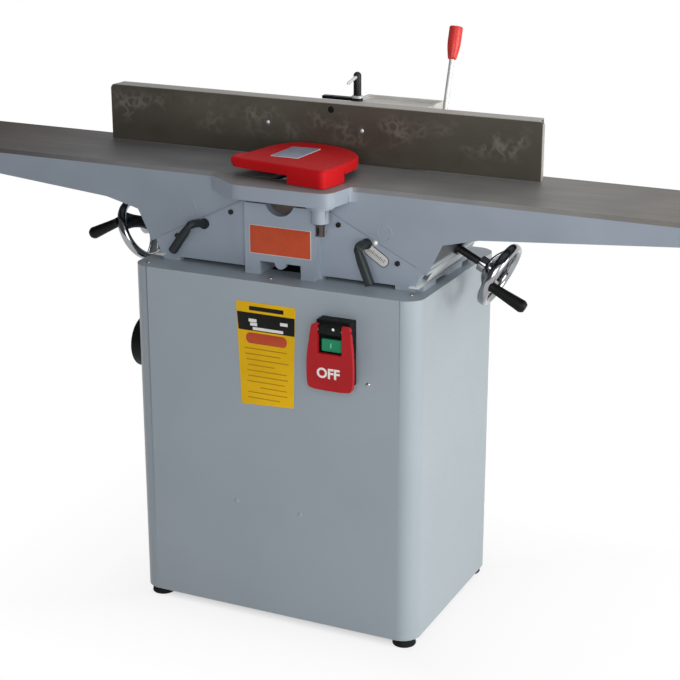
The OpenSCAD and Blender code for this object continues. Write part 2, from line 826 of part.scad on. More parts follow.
// along the motor, and the last one across it too
motor_bolt_shares = [0.2, 0.8];

module motor_bolt_places() {
  for (i = [-1, 1], s = motor_bolt_shares)
    translate([i * motor_bolt_shares[1] * motor_r, motor_y0 + s * motor_l, 0]) children();
}

module motor_housing() {
  foot_t = 2 * shelf_t;
  color([0.2, 0.22, 0.24]) difference() {
    union() {
      rod_y(0, motor_y0, motor_y1, motor_z, motor_r);
      box(-motor_r, motor_r, motor_y0 + motor_l / 10, motor_y1 - motor_l / 10,
        shelf_z, shelf_z + foot_t);
      box(-0.6 * motor_r, 0.6 * motor_r, motor_y0 + motor_l / 10, motor_y1 - motor_l / 10,
        shelf_z, motor_z - motor_r / 2);
    }
    rod_y(0, motor_y0 + motor_l / 2, motor_y1 + lap, motor_z, motor_shaft_r + fit);
    motor_bolt_places() rod_z(0, 0, shelf_z - lap, shelf_z + foot_t + lap, bolt_r + fit);
  }
}

module motor_shaft() {
  color([0.65, 0.65, 0.66])
    rod_y(0, motor_y0 + motor_l / 2 + lap, pulley_y1 + room, motor_z, motor_shaft_r);
}

module motor_shelf() {
  color([0.5, 0.52, 0.54]) difference() {
    union() {
      box(-inner_x, inner_x, motor_y0, motor_y1, shelf_z - shelf_t, shelf_z);
      for (i = [-1, 1])
        box(i * (inner_x - shelf_t / 2) - shelf_t / 2, i * (inner_x - shelf_t / 2) + shelf_t / 2,
          motor_y0, motor_y1, shelf_z - 8 * shelf_t, shelf_z);
    }
    motor_bolt_places() rod_z(0, 0, shelf_z - shelf_t - lap, shelf_z + lap, bolt_r + fit);
  }
}

module motor_bolts() {
  foot_t = 2 * shelf_t;
  color([0.6, 0.6, 0.62]) motor_bolt_places() {
    rod_z(0, 0, shelf_z - shelf_t - 2 * bolt_r, shelf_z + foot_t + lap, bolt_r);
    rod_z(0, 0, shelf_z + foot_t, shelf_z + foot_t + bolt_head_h, bolt_head_r, $fn = 6);
    rod_z(0, 0, shelf_z - shelf_t - bolt_head_h, shelf_z - shelf_t, bolt_head_r, $fn = 6);
  }
}

module terminal_box() {
  half = motor_l / 6;
  mid = motor_y0 + motor_l / 2;
  color([0.1, 0.1, 0.11]) difference() {
    box(0.7 * motor_r, 1.5 * motor_r, mid - half, mid + half, motor_z - 0.3 * motor_r,
      motor_z + 0.5 * motor_r);
    rod_y(0, motor_y0 - lap, motor_y1 + lap, motor_z, motor_r);
  }
}

module belt_cover() {
  half = big_pulley_r + thin;
  top = carriage_z0 - 4 * room;
  back = pulley_y1 + 4 * room;
  color([0.54, 0.58, 0.61]) difference() {
    box(-half, half, bed_back, back, cab_top, top);
    box(-half + thin, half - thin, bed_back - lap, back - thin, cab_top - lap, top - thin);
  }
}

// Tables

// outline of a table seen from the front, down to the way
module table_side(y0, y1) {
  slab_y([[skirt_in_x, table_z], [table_x, table_z], skirt_low[0], skirt_low[1],
    [saddle_top_x, saddle_top_z], [saddle_low_x, saddle_low_z],
    [skirt_in_x, lifted_z(skirt_in_x, slip)]], y0, y1);
}

module saddle_hollow() {
  intersection() {
    on_way() box(-way_top_l, wall_down, table_y0 + skirt_t, table_y1 - skirt_t,
      slip + saddle_t, saddle_l);
    box(0, table_x, table_y0, table_y1, 0, table_z - table_t);
  }
}

module table_hollow() {
  box(wall_x + skirt_t, table_x - skirt_t, table_y0 + skirt_t, table_y1 - skirt_t,
    table_z - table_l, table_z - table_t);
}

module table_body() {
  difference() {
    union() {
      difference() {
        table_side(table_y0, table_y1);
        saddle_hollow();
        table_hollow();
      }
      box(lip_x, skirt_in_x + lap, table_y0, table_y1, table_z - table_t, table_z);
      // cross ribs under the long end
      intersection() {
        table_side(table_y0, table_y1);
        for (s = rib_shares)
          box(s * table_x, s * table_x + skirt_t, table_y0 + skirt_t / 2, table_y1 - skirt_t / 2,
            0, table_z - table_t / 2);
      }
      // long rib down the middle
      intersection() {
        table_side(table_y0, table_y1);
        box(wall_x + skirt_t / 2, table_x - skirt_t / 2, screw_y - skirt_t / 2, screw_y + skirt_t / 2,
          0, table_z - table_t / 2);
      }
      on_way() slab_x([[dove_y0, slip + lap], [dove_y0, 0],
        [dove_y0 - undercut, -dove_h], [dove_y1 + undercut, -dove_h], [dove_y1, 0],
        [dove_y1, slip + lap]], -way_top_l / 2, saddle_l);
    }
    rod_y(0, table_y0 - lap, table_y1 + lap, cutter_z, scoop_r);
    on_way() {
      rod_x(saddle_l / 2, 2 * saddle_l, screw_y, screw_rise, screw_r + fit);
      box(nut_x - nut_l - way_travel, nut_x + nut_l + room, screw_y - nut_half - room,
        screw_y + nut_half + room, -2 * dove_h, saddle_t + slip + lap);
      box(nut_x - nut_l - way_travel, nut_x + nut_l + room, screw_y - nut_half - room,
        screw_y + nut_half + room, saddle_t, screw_rise + nut_half + room);
    }
  }
}

ledge_in_y = table_y0 - room;

// the ledge round its right side: shares of its reach to the right, of how far it stands out, of rounding
ledge_shares = [[0.76, 1, 0.4], [0.85, 0.75, 0.45], [0.875, 0.36, 0.4], [0.9, 0.06, 0.3], [1, 0, 0]];
// its left corner, as shares of its reach to the left and of how far it stands out
ledge_corner_shares = [[1, 0.34, 0.08], [0.47, 1, 0.08]];

module ledge() {
  inside = table_y0 + skirt_t / 2;
  left = [for (s = ledge_corner_shares) [-s[0] * ledge_left, table_y0 - s[1] * ledge_out, s[2]]];
  right = [for (s = ledge_shares) [s[0] * ledge_right, table_y0 - s[1] * ledge_out, s[2]]];
  slab_z(rounded(concat([[-ledge_left, ledge_in_y, 0]], left, right,
    [[ledge_right, inside, 0], [skirt_in_x, inside, 0], [skirt_in_x, ledge_in_y, 0]])), ledge_z, table_z);
}

module infeed_table() {
  color([0.42, 0.4, 0.39]) difference() {
    union() {
      table_body();
      ledge();
      rod_z(pivot_x, pivot_y, ledge_z - boss_l, ledge_z + lap, boss_r);
      rod_z(pivot_x, pivot_y, ledge_z - boss_l / 4, ledge_z + lap, 1.6 * boss_r);
    }
    rod_z(pivot_x, pivot_y, ledge_z - boss_l - lap, table_z + lap, spindle_r + fit);
  }
}

module outfeed_table() {
  color([0.42, 0.4, 0.39]) opposite() table_body();
}

module gib() {
  clear = slip / 2;
  low = -dove_h + 2 * slip;
  high = -2 * slip;
  y_low = dove_y0 - clear + low * tan(dove_angle);
  y_high = dove_y0 - clear + high * tan(dove_angle);
  wide = gib_y + slip - clear;
  on_way() slab_x([[y_high, high], [y_high - wide, high], [y_low - wide, low], [y_low, low]],
    gib_x, gib_x + gib_l);
}

module infeed_gib() {
  color([0.6, 0.6, 0.6]) gib();
}

module outfeed_gib() {
  color([0.6, 0.6, 0.6]) opposite() gib();
}

// the place on the front of the gib that a screw of a given radius can reach
function gib_face(r) = dove_y0 - slip - gib_y + (gib_n - r) * tan(dove_angle);

module gib_screws() {
  on_way() for (s = gib_screw_shares) {
    rod_y(s * saddle_l, bed_front - thin / 2, gib_face(screw_small_r), gib_n, screw_small_r);
    rod_y(s * saddle_l, bed_front - thin, bed_front, gib_n, 1.7 * screw_small_r, $fn = 6);
  }
}

module infeed_gib_screws() {
  color([0.15, 0.15, 0.15]) gib_screws();
}

module outfeed_gib_screws() {
  color([0.15, 0.15, 0.15]) opposite() gib_screws();
}

module lock_lever(turn) {
  hub_r = 1.8 * lock_r;
  stem_r = 1.4 * lock_r;
  arm_y = bed_front - lever_out;
  hub_x = way_x + lock_x * cos(way_angle) + gib_n * sin(way_angle);
  hub_z = table_z - way_drop - lock_x * sin(way_angle) + gib_n * cos(way_angle);
  // just short of the cabinet top when it points straight down
  arm_l = lever_share * (hub_z - cab_top);
  rod_y(hub_x, arm_y - hub_r, arm_y + hub_r, hub_z, hub_r);
  rod_y(hub_x, arm_y, bed_front - slip, hub_z, stem_r);
  rod_y(hub_x, arm_y, gib_face(lock_r) - slip, hub_z, lock_r);
  translate([hub_x, arm_y, hub_z]) rotate([0, 90 - turn, 0])
    cylinder(h = arm_l, r1 = 0.85 * lock_r, r2 = 1.3 * lock_r);
}

module infeed_lock_lever() {
  color([0.05, 0.05, 0.05]) lock_lever(lever_turn[0]);
}

module outfeed_lock_lever() {
  color([0.05, 0.05, 0.05]) opposite() lock_lever(lever_turn[1]);
}

// Lead screws and handwheels

hub_l = 34;
hub_r = 12;
hub_x0 = wheel_place - 1.2 * hub_l;

module lead_screw() {
  collar_r = 1.7 * screw_r;
  collar_l = screw_r;
  on_way() {
    rod_x(nut_x - nut_l, hub_x0 + hub_l, screw_y, screw_rise, screw_r);
    rod_x(saddle_l + slip, saddle_l + slip + collar_l, screw_y, screw_rise, collar_r);
    rod_x(saddle_l - bed_wall - slip - collar_l, saddle_l - bed_wall - slip, screw_y, screw_rise,
      collar_r);
  }
}

module infeed_lead_screw() {
  color([0.1, 0.1, 0.1]) lead_screw();
}

module outfeed_lead_screw() {
  color([0.1, 0.1, 0.1]) opposite() lead_screw();
}

module nut() {
  on_way() difference() {
    box(nut_x - nut_l / 2, nut_x + nut_l / 2, screw_y - nut_half, screw_y + nut_half,
      -channel_h, screw_rise + nut_half);
    rod_x(nut_x - nut_l, nut_x + nut_l, screw_y, screw_rise, screw_r + fit);
  }
}

module infeed_nut() {
  color([0.7, 0.55, 0.25]) nut();
}

module outfeed_nut() {
  color([0.7, 0.55, 0.25]) opposite() nut();
}

stud_r = 4;
grip_place = wheel_r;

module handwheel(turn) {
  spoke_r = 0.62 * rim_r;
  on_way() translate([wheel_place, screw_y, screw_rise]) rotate([turn, 0, 0]) difference() {
    union() {
      rotate([0, 90, 0]) rotate_extrude() translate([wheel_r, 0]) circle(r = rim_r);
      rod_x(hub_x0 - wheel_place, hub_x0 - wheel_place + hub_l, 0, 0, hub_r);
      for (k = [0:2]) rotate([120 * k, 0, 0])
        translate([hub_x0 - wheel_place + hub_l / 2, 0, 0])
        rotate([0, atan2(-hub_x0 + wheel_place - hub_l / 2, wheel_r), 0])
        cylinder(h = wheel_r, r = spoke_r);
      rod_x(0, rim_r + grip_l - 2 * stud_r, 0, grip_place, stud_r);
    }
    rod_x(hub_x0 - wheel_place - lap, hub_x0 - wheel_place + hub_l + lap, 0, 0, screw_r + fit);
  }
}

wheel_turns = [94, 58];

module infeed_handwheel() {
  color([0.8, 0.8, 0.82]) handwheel(wheel_turns[0]);
}

module outfeed_handwheel() {
  color([0.8, 0.8, 0.82]) opposite() handwheel(wheel_turns[1]);
}

module wheel_grip(turn) {
  bore = stud_r + fit;
  neck_r = 1.7 * stud_r;
  end_r = 2.9 * stud_r;
  on_way() translate([wheel_place, screw_y, screw_rise]) rotate([turn, 0, 0])
    translate([rim_r + slip, 0, grip_place]) rotate([0, 90, 0]) rotate_extrude()
    polygon([[bore, 0], [2.1 * stud_r, 0], [neck_r, grip_l / 8], [end_r, 0.9 * grip_l],
      [0.8 * end_r, grip_l], [0, grip_l], [0, grip_l - stud_r], [bore, grip_l - stud_r]]);
}

module infeed_wheel_grip() {
  color([0.05, 0.05, 0.05]) wheel_grip(wheel_turns[0]);
}

module outfeed_wheel_grip() {
  color([0.05, 0.05, 0.05]) opposite() wheel_grip(wheel_turns[1]);
}

// Guard

guard_back = fence_set - 2 * room;

// round the guard: shares of the ledge reach, of the fence distance, and of rounding
guard_shares = [[-0.745, -0.035, 0.3], [-0.77, 0.13, 0.35], [-0.69, 0.23, 0.4], [-0.66, 0.4, 0.45],
  [-0.62, 0.66, 0.45], [-0.49, 0.895, 0.45], [-0.3, 0.975, 0.45], [-0.02, 0.985, 0.45],
  [0.27, 0.93, 0.45], [0.49, 0.835, 0.45], [0.72, 0.645, 0.45], [0.8, 0.4, 0.45], [0.79, 0.05, 0.45],
  [0.74, -0.28, 0.08], [0.2, -0.195, 0.2], [-0.6, -0.075, 0.2]];
// the hub reaches down over this much of the guard
hub_left_share = 0.17;
hub_back_share = 0.12;

module guard_slab(low) {
  slab_z(rounded([for (p = guard_shares) [p[0] * ledge_left, table_y0 + p[1] * guard_back, p[2]]]),
    low, guard_z1);
}

module cutter_guard() {
  color([0.8, 0.12, 0.13]) difference() {
    union() {
      guard_slab(guard_z0);
      intersection() {
        guard_slab(hub_z);
        box(hub_left_share * ledge_left, table_l, -table_l, table_y0 + hub_back_share * guard_back,
          hub_z - lap, guard_z1 + lap);
      }
    }
    rod_z(pivot_x, pivot_y, hub_z - lap, guard_z1 - thin, spindle_r + fit / 2);
  }
}

module guard_spindle() {
  low = ledge_z - boss_l - 3 * spindle_r;
  color([0.6, 0.6, 0.6]) difference() {
    union() {
      rod_z(pivot_x, pivot_y, low, guard_z1 - thin, spindle_r);
      rod_z(pivot_x, pivot_y, ledge_z - boss_l - thin, ledge_z - boss_l - slip, 1.4 * spindle_r);
    }
    box(pivot_x - spindle_r / 4, pivot_x + spindle_r / 4, pivot_y - 2 * spindle_r,
      pivot_y + 2 * spindle_r, low - lap, ledge_z - boss_l - spindle_r);
  }
}

// Fence

module fence() {
  r = fence_corner_r;
  mid = (fence_x0 + fence_x1) / 2;
  rib_z = fence_z0 + 0.32 * fence_h;
  color([0.36, 0.34, 0.34]) difference() {
    union() {
      difference() {
        translate([mid, plate_y, fence_z0]) rotate([90, 0, 0]) linear_extrude(height = fence_t) {
          translate([0, (fence_z1 - fence_z0) / 2]) round_rect(fence_l, fence_z1 - fence_z0, r);
          translate([-fence_l / 2, 0]) square([fence_l, r]);
        }
        slab_x([[fence_y + fence_t / 4, fence_z0 - lap], [plate_y + lap, fence_z0 - lap],
          [plate_y + lap, fence_z0 + 0.75 * fence_t + lap]], fence_x0 - lap, fence_x1 + lap);
      }
      box(fence_x0 + r, fence_x1 - r, plate_y - lap, fence_y + flange_depth, fence_z1 - flange_t,
        fence_z1);
      for (x = [fence_x0 + r, fence_x1 - r - fence_t])
        slab_x([[plate_y - lap, rib_z], [plate_y, rib_z], [fence_y + flange_depth, fence_z1 - flange_t],
          [fence_y + flange_depth, fence_z1 - flange_t / 2], [plate_y - lap, fence_z1 - flange_t / 2]],
          x, x + fence_t);
    }
    for (x = face_screw_xs) {
      rod_y(x, fence_y - lap, plate_y + lap, face_screw_z, face_screw_r + fit);
      translate([x, fence_y + face_screw_r, face_screw_z]) rotate([90, 0, 0])
        cylinder(h = face_screw_r, r1 = face_screw_r + fit, r2 = face_head_r + fit);
    }
  }
}

module fence_bracket() {
  top = fence_z1 - 2 * flange_t;
  low = hinge_z + knuckle_r + room;
  color([0.5, 0.53, 0.56]) difference() {
    union() {
      box(bracket_x0, bracket_x1 - lap, plate_y, plate_y + bracket_t, low, top);
      for (x = [knuckle_a + knuckle_l + slip, knuckle_b - knuckle_l - slip]) {
        rod_x(x, x + knuckle_l, hinge_y, hinge_z, knuckle_r);
        box(x, x + knuckle_l, plate_y, hinge_y, hinge_z, low + lap);
      }
      box(bracket_x1 - 2 * lap, knuckle_b, plate_y, plate_y + bracket_t, low, top);
    }
    rod_x(carriage_left - lap, carriage_right + lap, hinge_y, hinge_z, hinge_pin_r + fit);
    for (x = face_screw_xs)
      rod_y(x, plate_y - lap, plate_y + bracket_t + lap, face_screw_z, face_screw_r + fit);
  }
}

module fence_screws() {
  color([0.6, 0.6, 0.6]) for (x = face_screw_xs) {
    rod_y(x, fence_y + lap, plate_y + bracket_t + lap, face_screw_z, face_screw_r);
    translate([x, fence_y + face_screw_r, face_screw_z]) rotate([90, 0, 0])
      cylinder(h = face_screw_r, r1 = face_screw_r, r2 = face_head_r);
    rod_y(x, plate_y + bracket_t, plate_y + bracket_t + thin, face_screw_z, face_head_r, $fn = 6);
  }
}

module hinge_pin() {
  color([0.65, 0.65, 0.66])
    rod_x(knuckle_a, carriage_right, hinge_y, hinge_z, hinge_pin_r);
}

module fence_carriage() {
  low = carriage_z0;
  mid_y = hinge_y + knuckle_r + room;
  arm_z = hinge_z + 0.25 * knuckle_r;
  rim = 2 * thin;
  slot_neck = key_w / 2 + slip - key_lean;
  tray_right = 0.885 * carriage_right;
  color([0.54, 0.58, 0.61]) difference() {
    union() {
      slab_x([[mid_y, low], [carriage_back, low], [carriage_back, carriage_z1], [tray_y, carriage_z1],
        [tray_y, hinge_z + 0.42 * fence_h], [mid_y, arm_z]], carriage_left, carriage_right);
      for (x = [knuckle_a, knuckle_b]) {
        rod_x(x, x + knuckle_l, hinge_y, hinge_z, knuckle_r);
        box(x, x + knuckle_l, hinge_y, mid_y + lap, low, hinge_z);
      }
    }
    // step at the lever, then the tray in the top
    box(tray_right, carriage_right + lap, mid_y - lap, carriage_back + lap,
      carriage_z1 - 0.19 * carriage_h, carriage_z1 + lap);
    box(carriage_left + rim, tray_right - rim, tray_y + 3 * post_r + rim, carriage_back - rim,
      carriage_z1 - 2 * thin, carriage_z1 + lap);
    // hollow underneath, either side of the key
    for (x = [[carriage_left + rim, key_x - key_w], [key_x + key_w, carriage_right - rim - hub_deep]])
      box(x[0], x[1], mid_y + 4 * rim, carriage_back - rim, low - lap, carriage_z1 - 0.4 * carriage_h);
    slab_y([[key_x - slot_neck, low - lap], [key_x + slot_neck, low - lap],
      [key_x + key_w / 2 + slip, low + key_h + slip], [key_x - key_w / 2 - slip, low + key_h + slip]],
      0, carriage_back + lap);
    rod_x(knuckle_a - lap, knuckle_a + knuckle_l + lap, hinge_y, hinge_z, hinge_pin_r + fit / 2);
    rod_x(knuckle_b - lap, knuckle_b + knuckle_l + lap, hinge_y, hinge_z, hinge_pin_r + fit / 2);
    rod_z(post_x, post_y, carriage_z1 - 2 * post_r, carriage_z1 + lap, post_r / 2 + fit);
    rod_x(carriage_right - hub_deep, carriage_right + lap, lever_hub_y, lever_hub_z, lever_stud_r + fit);
  }
}

hub_deep = 22;
lever_stud_r = 6;
lever_hub_r = 12;
lever_rod_r = 5;

module fence_support() {
  key_neck = key_w / 2 - key_lean;
  color([0.54, 0.58, 0.61]) difference() {
    union() {
      box(support_x0, support_x1, support_y0, carriage_back - room, support_z0, support_z1);
      // key under the carriage
      slab_y([[key_x - key_neck, support_z1 - lap], [key_x + key_neck, support_z1 - lap],
        [key_x + key_neck, support_z1], [key_x + key_w / 2, support_z1 + key_h],
        [key_x - key_w / 2, support_z1 + key_h], [key_x - key_neck, support_z1]],
        support_y0, carriage_back - room);
      box(support_x0, support_x1, bed_back, bed_back + support_foot_t, support_foot_z, support_z0 + lap);
      // web
      slab_x([[bed_back + support_foot_t - lap, support_foot_z], [bed_back + support_foot_t, support_foot_z],
        [carriage_back - 8 * room, support_z0], [carriage_back - 8 * room, support_z0 + lap],
        [bed_back + support_foot_t - lap, support_z0 + lap]], key_x - support_foot_t / 2,
        key_x + support_foot_t / 2);
    }
    support_bolt_places() rod_y(0, bed_back - lap, bed_back + support_foot_t + lap, 0, bolt_r + fit);
  }
}

module support_bolt_places() {
  for (x = [support_x0 + 2 * bolt_head_r, support_x1 - 2 * bolt_head_r])
    translate([x, 0, support_foot_z + 1.5 * bolt_head_r]) children();
}

module support_bolts() {
  face = bed_back + support_foot_t;
  color([0.5, 0.5, 0.52]) support_bolt_places() {
    rod_y(0, bed_back - 0.7 * bed_wall, face + lap, 0, bolt_r);
    rod_y(0, face, face + bolt_head_h, 0, bolt_head_r, $fn = 6);
  }
}

module clamp_post() {
  bar_r = post_r / 3;
  color([0.05, 0.05, 0.05]) {
    rod_z(post_x, post_y, carriage_z1 - 1.8 * post_r, carriage_z1 + 2 * post_r, post_r / 2);
    rod_z(post_x, post_y, carriage_z1 + 2 * thin + slip, carriage_z1 + post_h - post_r, post_r);
    translate([post_x, post_y, carriage_z1 + post_h - post_r]) sphere(r = post_r);
    rod_y(post_x, post_y - 6 * post_r, post_y, carriage_z1 + post_h - post_r, bar_r);
  }
}

module clamp_arm() {
  left = post_x - 9.5 * post_r;
  color([0.05, 0.05, 0.05]) difference() {
    union() {
      box(left, post_x, post_y - 0.9 * post_r, post_y + 0.9 * post_r, carriage_z1, carriage_z1 + 2 * thin);
      rod_z(post_x, post_y, carriage_z1, carriage_z1 + 2 * thin, 1.4 * post_r);
    }
    rod_z(post_x, post_y, carriage_z1 - lap, carriage_z1 + 3 * thin, post_r / 2 + fit);
  }
}

module on_lever() {
  translate([carriage_right, lever_hub_y, lever_hub_z]) rotate([-lever_back, 0, 0]) children();
}

module carriage_lever() {
  mid = lever_hub_r / 2 + 2 * slip;
  color([0.78, 0.78, 0.78]) on_lever() {
    rod_x(slip, lever_hub_r + slip, 0, 0, lever_hub_r);
    rod_x(-hub_deep + room, lever_hub_r / 2, 0, 0, lever_stud_r);
    rod_z(mid, 0, 0, rod_l, lever_rod_r);
  }
}

module lever_grip() {
  mid = lever_hub_r / 2 + 2 * slip;
  low = rod_l - 0.3 * red_grip_l;
  color([0.84, 0.27, 0.27]) on_lever() translate([mid, 0, low]) difference() {
    rotate_extrude() polygon([[0, 0], [1.45 * lever_rod_r, 0], [1.7 * lever_rod_r, red_grip_l / 16],
      [2.5 * lever_rod_r, 0.96 * red_grip_l], [2.3 * lever_rod_r, red_grip_l], [0, red_grip_l]]);
    rod_z(0, 0, -lap, 0.3 * red_grip_l + slip, lever_rod_r + fit / 2);
  }
}

cabinet();
rear_door();
door_screws();
rubber_feet();
foot_bolts();
dust_chute();
dust_port();
switch_box();
switch_paddle();
paddle_pin();
start_button();
cable_gland();
bed_casting();
bed_bolts();
bearing_block_front();
bearing_block_rear();
cutter_bearings();
cutterhead();
knives();
knife_wedges();
wedge_screws();
cutterhead_pulley();
drive_belt();
motor_pulley();
motor_housing();
motor_shaft();
motor_shelf();
motor_bolts();
terminal_box();
belt_cover();
infeed_table();
outfeed_table();
infeed_gib();
outfeed_gib();
infeed_gib_screws();
outfeed_gib_screws();
infeed_lock_lever();
outfeed_lock_lever();
infeed_lead_screw();
outfeed_lead_screw();
infeed_nut();
outfeed_nut();
infeed_handwheel();
outfeed_handwheel();
infeed_wheel_grip();
outfeed_wheel_grip();
cutter_guard();
guard_spindle();
fence();
fence_bracket();
fence_screws();
hinge_pin();
fence_carriage();
fence_support();
support_bolts();
clamp_post();
clamp_arm();
carriage_lever();
lever_grip();
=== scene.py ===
# %% [markdown]
# # A jointer on its cabinet stand
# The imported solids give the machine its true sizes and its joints. This lesson loads them as a fixed
# frame, rounds and finishes their surfaces, adds the forms that a solid modeller draws poorly, and
# lights the machine as in the photograph. X runs along the tables and Y to the back. Lengths are metres;
# lists and sizes given in millimetres are multiplied by mm where they are used.

# %% Load the solids
import json
import math

import bmesh
import bpy
import numpy as np
from mathutils import Matrix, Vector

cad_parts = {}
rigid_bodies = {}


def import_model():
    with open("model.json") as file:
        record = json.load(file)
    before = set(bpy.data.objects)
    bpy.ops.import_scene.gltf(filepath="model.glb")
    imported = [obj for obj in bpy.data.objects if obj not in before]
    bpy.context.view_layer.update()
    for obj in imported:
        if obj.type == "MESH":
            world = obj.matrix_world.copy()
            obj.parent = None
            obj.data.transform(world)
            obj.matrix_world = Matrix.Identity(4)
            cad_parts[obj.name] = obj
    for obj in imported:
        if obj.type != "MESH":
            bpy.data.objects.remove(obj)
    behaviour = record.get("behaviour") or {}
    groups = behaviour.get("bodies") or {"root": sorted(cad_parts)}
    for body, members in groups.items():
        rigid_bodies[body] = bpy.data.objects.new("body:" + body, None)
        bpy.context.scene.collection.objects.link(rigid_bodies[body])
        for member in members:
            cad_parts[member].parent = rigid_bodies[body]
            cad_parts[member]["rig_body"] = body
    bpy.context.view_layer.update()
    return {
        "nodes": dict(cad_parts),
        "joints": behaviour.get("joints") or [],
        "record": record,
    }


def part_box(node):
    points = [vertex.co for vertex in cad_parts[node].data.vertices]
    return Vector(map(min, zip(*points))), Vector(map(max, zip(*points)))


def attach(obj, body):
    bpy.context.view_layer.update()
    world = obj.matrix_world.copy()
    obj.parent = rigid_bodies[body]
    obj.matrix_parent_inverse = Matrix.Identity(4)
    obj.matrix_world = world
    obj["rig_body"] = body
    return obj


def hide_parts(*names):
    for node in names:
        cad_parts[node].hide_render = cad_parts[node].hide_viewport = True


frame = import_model()
joints = {joint["name"]: joint for joint in frame["joints"]}
scene = bpy.context.scene
mm = 0.001
east, north, upward = np.eye(3)
front = -north


def corners(part):
    """The lowest and the highest corner of a CAD node, as arrays."""
    low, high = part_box(part)
    return np.array(low), np.array(high)


def pivot(joint):
    """The point that a joint turns about."""
    return np.array(joints[joint]["pos_m"])


table_low, table_high = corners("outfeed_table")
cabinet_low, cabinet_high = corners("cabinet")
fence_end, _, fence_top = corners("fence")[1]
table_top, apron_y, cabinet_y = table_high[2], table_low[1], cabinet_low[1]
print("loaded", len(frame["nodes"]), "solids, table top at", round(float(table_top), 4))

# %% [markdown]
# ## Camera
# The camera was solved from the straight edges of the cabinet, tables and fence. A yaw, a pitch and a
# small roll turn it, and the lens shift puts the machine where the photograph has it.

# %% Set the camera
yaw, pitch, roll = np.radians([24.14, 18.76, -0.38])
camera_place = np.array([1.3255, -2.6990, 1.5018])


def posed(right, up, back, place):
    """The matrix that lays an object's axes along three directions and its origin on a place."""
    made = np.eye(4)
    made[:3] = np.stack([right, up, back, place], axis=1)
    return Matrix(made.tolist())


ahead = np.array([-np.sin(yaw) * np.cos(pitch), np.cos(yaw) * np.cos(pitch), -np.sin(pitch)])
level = np.array([np.cos(yaw), np.sin(yaw), 0.0])
down = np.cross(ahead, level)
rightward = np.cos(roll) * level + np.sin(roll) * down
below = np.cos(roll) * down - np.sin(roll) * level
lens = bpy.data.cameras.new("camera")
lens.sensor_width, lens.lens = 36.0, 88.6
lens.shift_x, lens.shift_y = -0.049, 0.0162
camera = bpy.data.objects.new("camera", lens)
camera.matrix_world = posed(rightward, -below, -ahead, camera_place)
scene.collection.objects.link(camera)
scene.camera = camera
print("camera at", camera_place)

# %% [markdown]
# ## Surfaces from formulas
# Every added piece, but for one word, is a grid of points P(u, v) worked out on whole arrays. A grid becomes
# a ring, a turned part, a swept rod or a plate with rounded edges, depending on how its two parameters are
# used.

# %% Grid helpers


def unit(vectors):
    """Vectors shortened or stretched to length one."""
    vectors = np.asarray(vectors, float)
    return vectors / np.linalg.norm(vectors, axis=-1, keepdims=True)


def grid(points, close_u=False, close_v=False):
    """Four-sided faces between neighbours of a grid of points, rows u and columns v."""
    rows, cols = points.shape[:2]
    index = np.arange(rows * cols).reshape(rows, cols)
    index = np.vstack([index, index[:1]]) if close_u else index
    index = np.hstack([index, index[:, :1]]) if close_v else index
    faces = np.stack([index[:-1, :-1], index[1:, :-1], index[1:, 1:], index[:-1, 1:]], axis=-1)
    return points.reshape(-1, 3), faces.reshape(-1, 4).tolist()


def tube(points):
    """A grid closed around in v, with a flat lid on its first and last row."""
    spots, faces = grid(points, close_v=True)
    rows, cols = points.shape[:2]
    ends = np.arange(rows * cols).reshape(rows, cols)[[0, -1]]
    return spots, faces + ends.tolist()


def merge(*surfaces):
    """Several surfaces as one list of points and faces."""
    shifts = np.cumsum([0] + [len(spots) for spots, _ in surfaces])
    merged = [[i + shift for i in face] for shift, (_, faces) in zip(shifts, surfaces) for face in faces]
    return np.vstack([spots for spots, _ in surfaces]), merged


def across(axis, toward=upward):
    """Two unit vectors square to an axis, the first as near as can be to a wanted direction."""
    axis = unit(axis)
    first = unit(np.asarray(toward, float) - axis * np.dot(axis, toward))
    return first, np.cross(axis, first)


def spokes(axis, toward, steps):
    """Unit vectors spread round an axis: S(t) = cos t first + sin t second."""
    first, second = across(axis, toward)
    turn = np.linspace(0, 2 * np.pi, steps, endpoint=False)[:, None]
    return np.cos(turn) * first + np.sin(turn) * second


def wall(profile, middle, axis, toward, steps):
    """The points of a turned part: P(h, t) = middle + h axis + r(h) S(t), a row of the profile being r, h."""
    radius, height = np.asarray(profile, float).T[..., None, None]
    return np.asarray(middle) + height * unit(axis) + radius * spokes(axis, toward, steps)


def turned(profile, middle, axis, toward=upward, steps=72):
    """A solid turned part, from its profile of radius and height."""
    return tube(wall(profile, middle, axis, toward, steps))


def ring(middle, axis, radius, half, flat=1.0, steps=120, around=28):
    """A torus: P(t, s) = middle + (radius + half cos s) S(t) + flat half sin s axis."""
    small = np.linspace(0, 2 * np.pi, around, endpoint=False)[None, :, None]
    spread = (radius + half * np.cos(small)) * spokes(axis, upward, steps)[:, None]
    return grid(np.asarray(middle) + spread + flat * half * np.sin(small) * unit(axis), True, True)


def swept(path, widths, heights, up, around=24, power=2.0):
    """A section carried along a path: P(s, t) = path(s) + w(s) c(t) side(s) + h(s) d(t) lift(s), with
    c and d the signed powers of cosine and sine, so that a power over 2 squares the section."""
    path = np.asarray(path, float)
    run = unit(np.gradient(path, axis=0))
    side = unit(np.cross(run, np.asarray(up, float)))
    lift = np.cross(side, run)
    turn = np.linspace(0, 2 * np.pi, around, endpoint=False)
    c = np.sign(np.cos(turn)) * np.abs(np.cos(turn)) ** (2 / power)
    d = np.sign(np.sin(turn)) * np.abs(np.sin(turn)) ** (2 / power)
    widths = np.broadcast_to(widths, len(path))[:, None, None]
    heights = np.broadcast_to(heights, len(path))[:, None, None]
    return tube(path[:, None] + widths * c[:, None] * side[:, None] + heights * d[:, None] * lift[:, None])


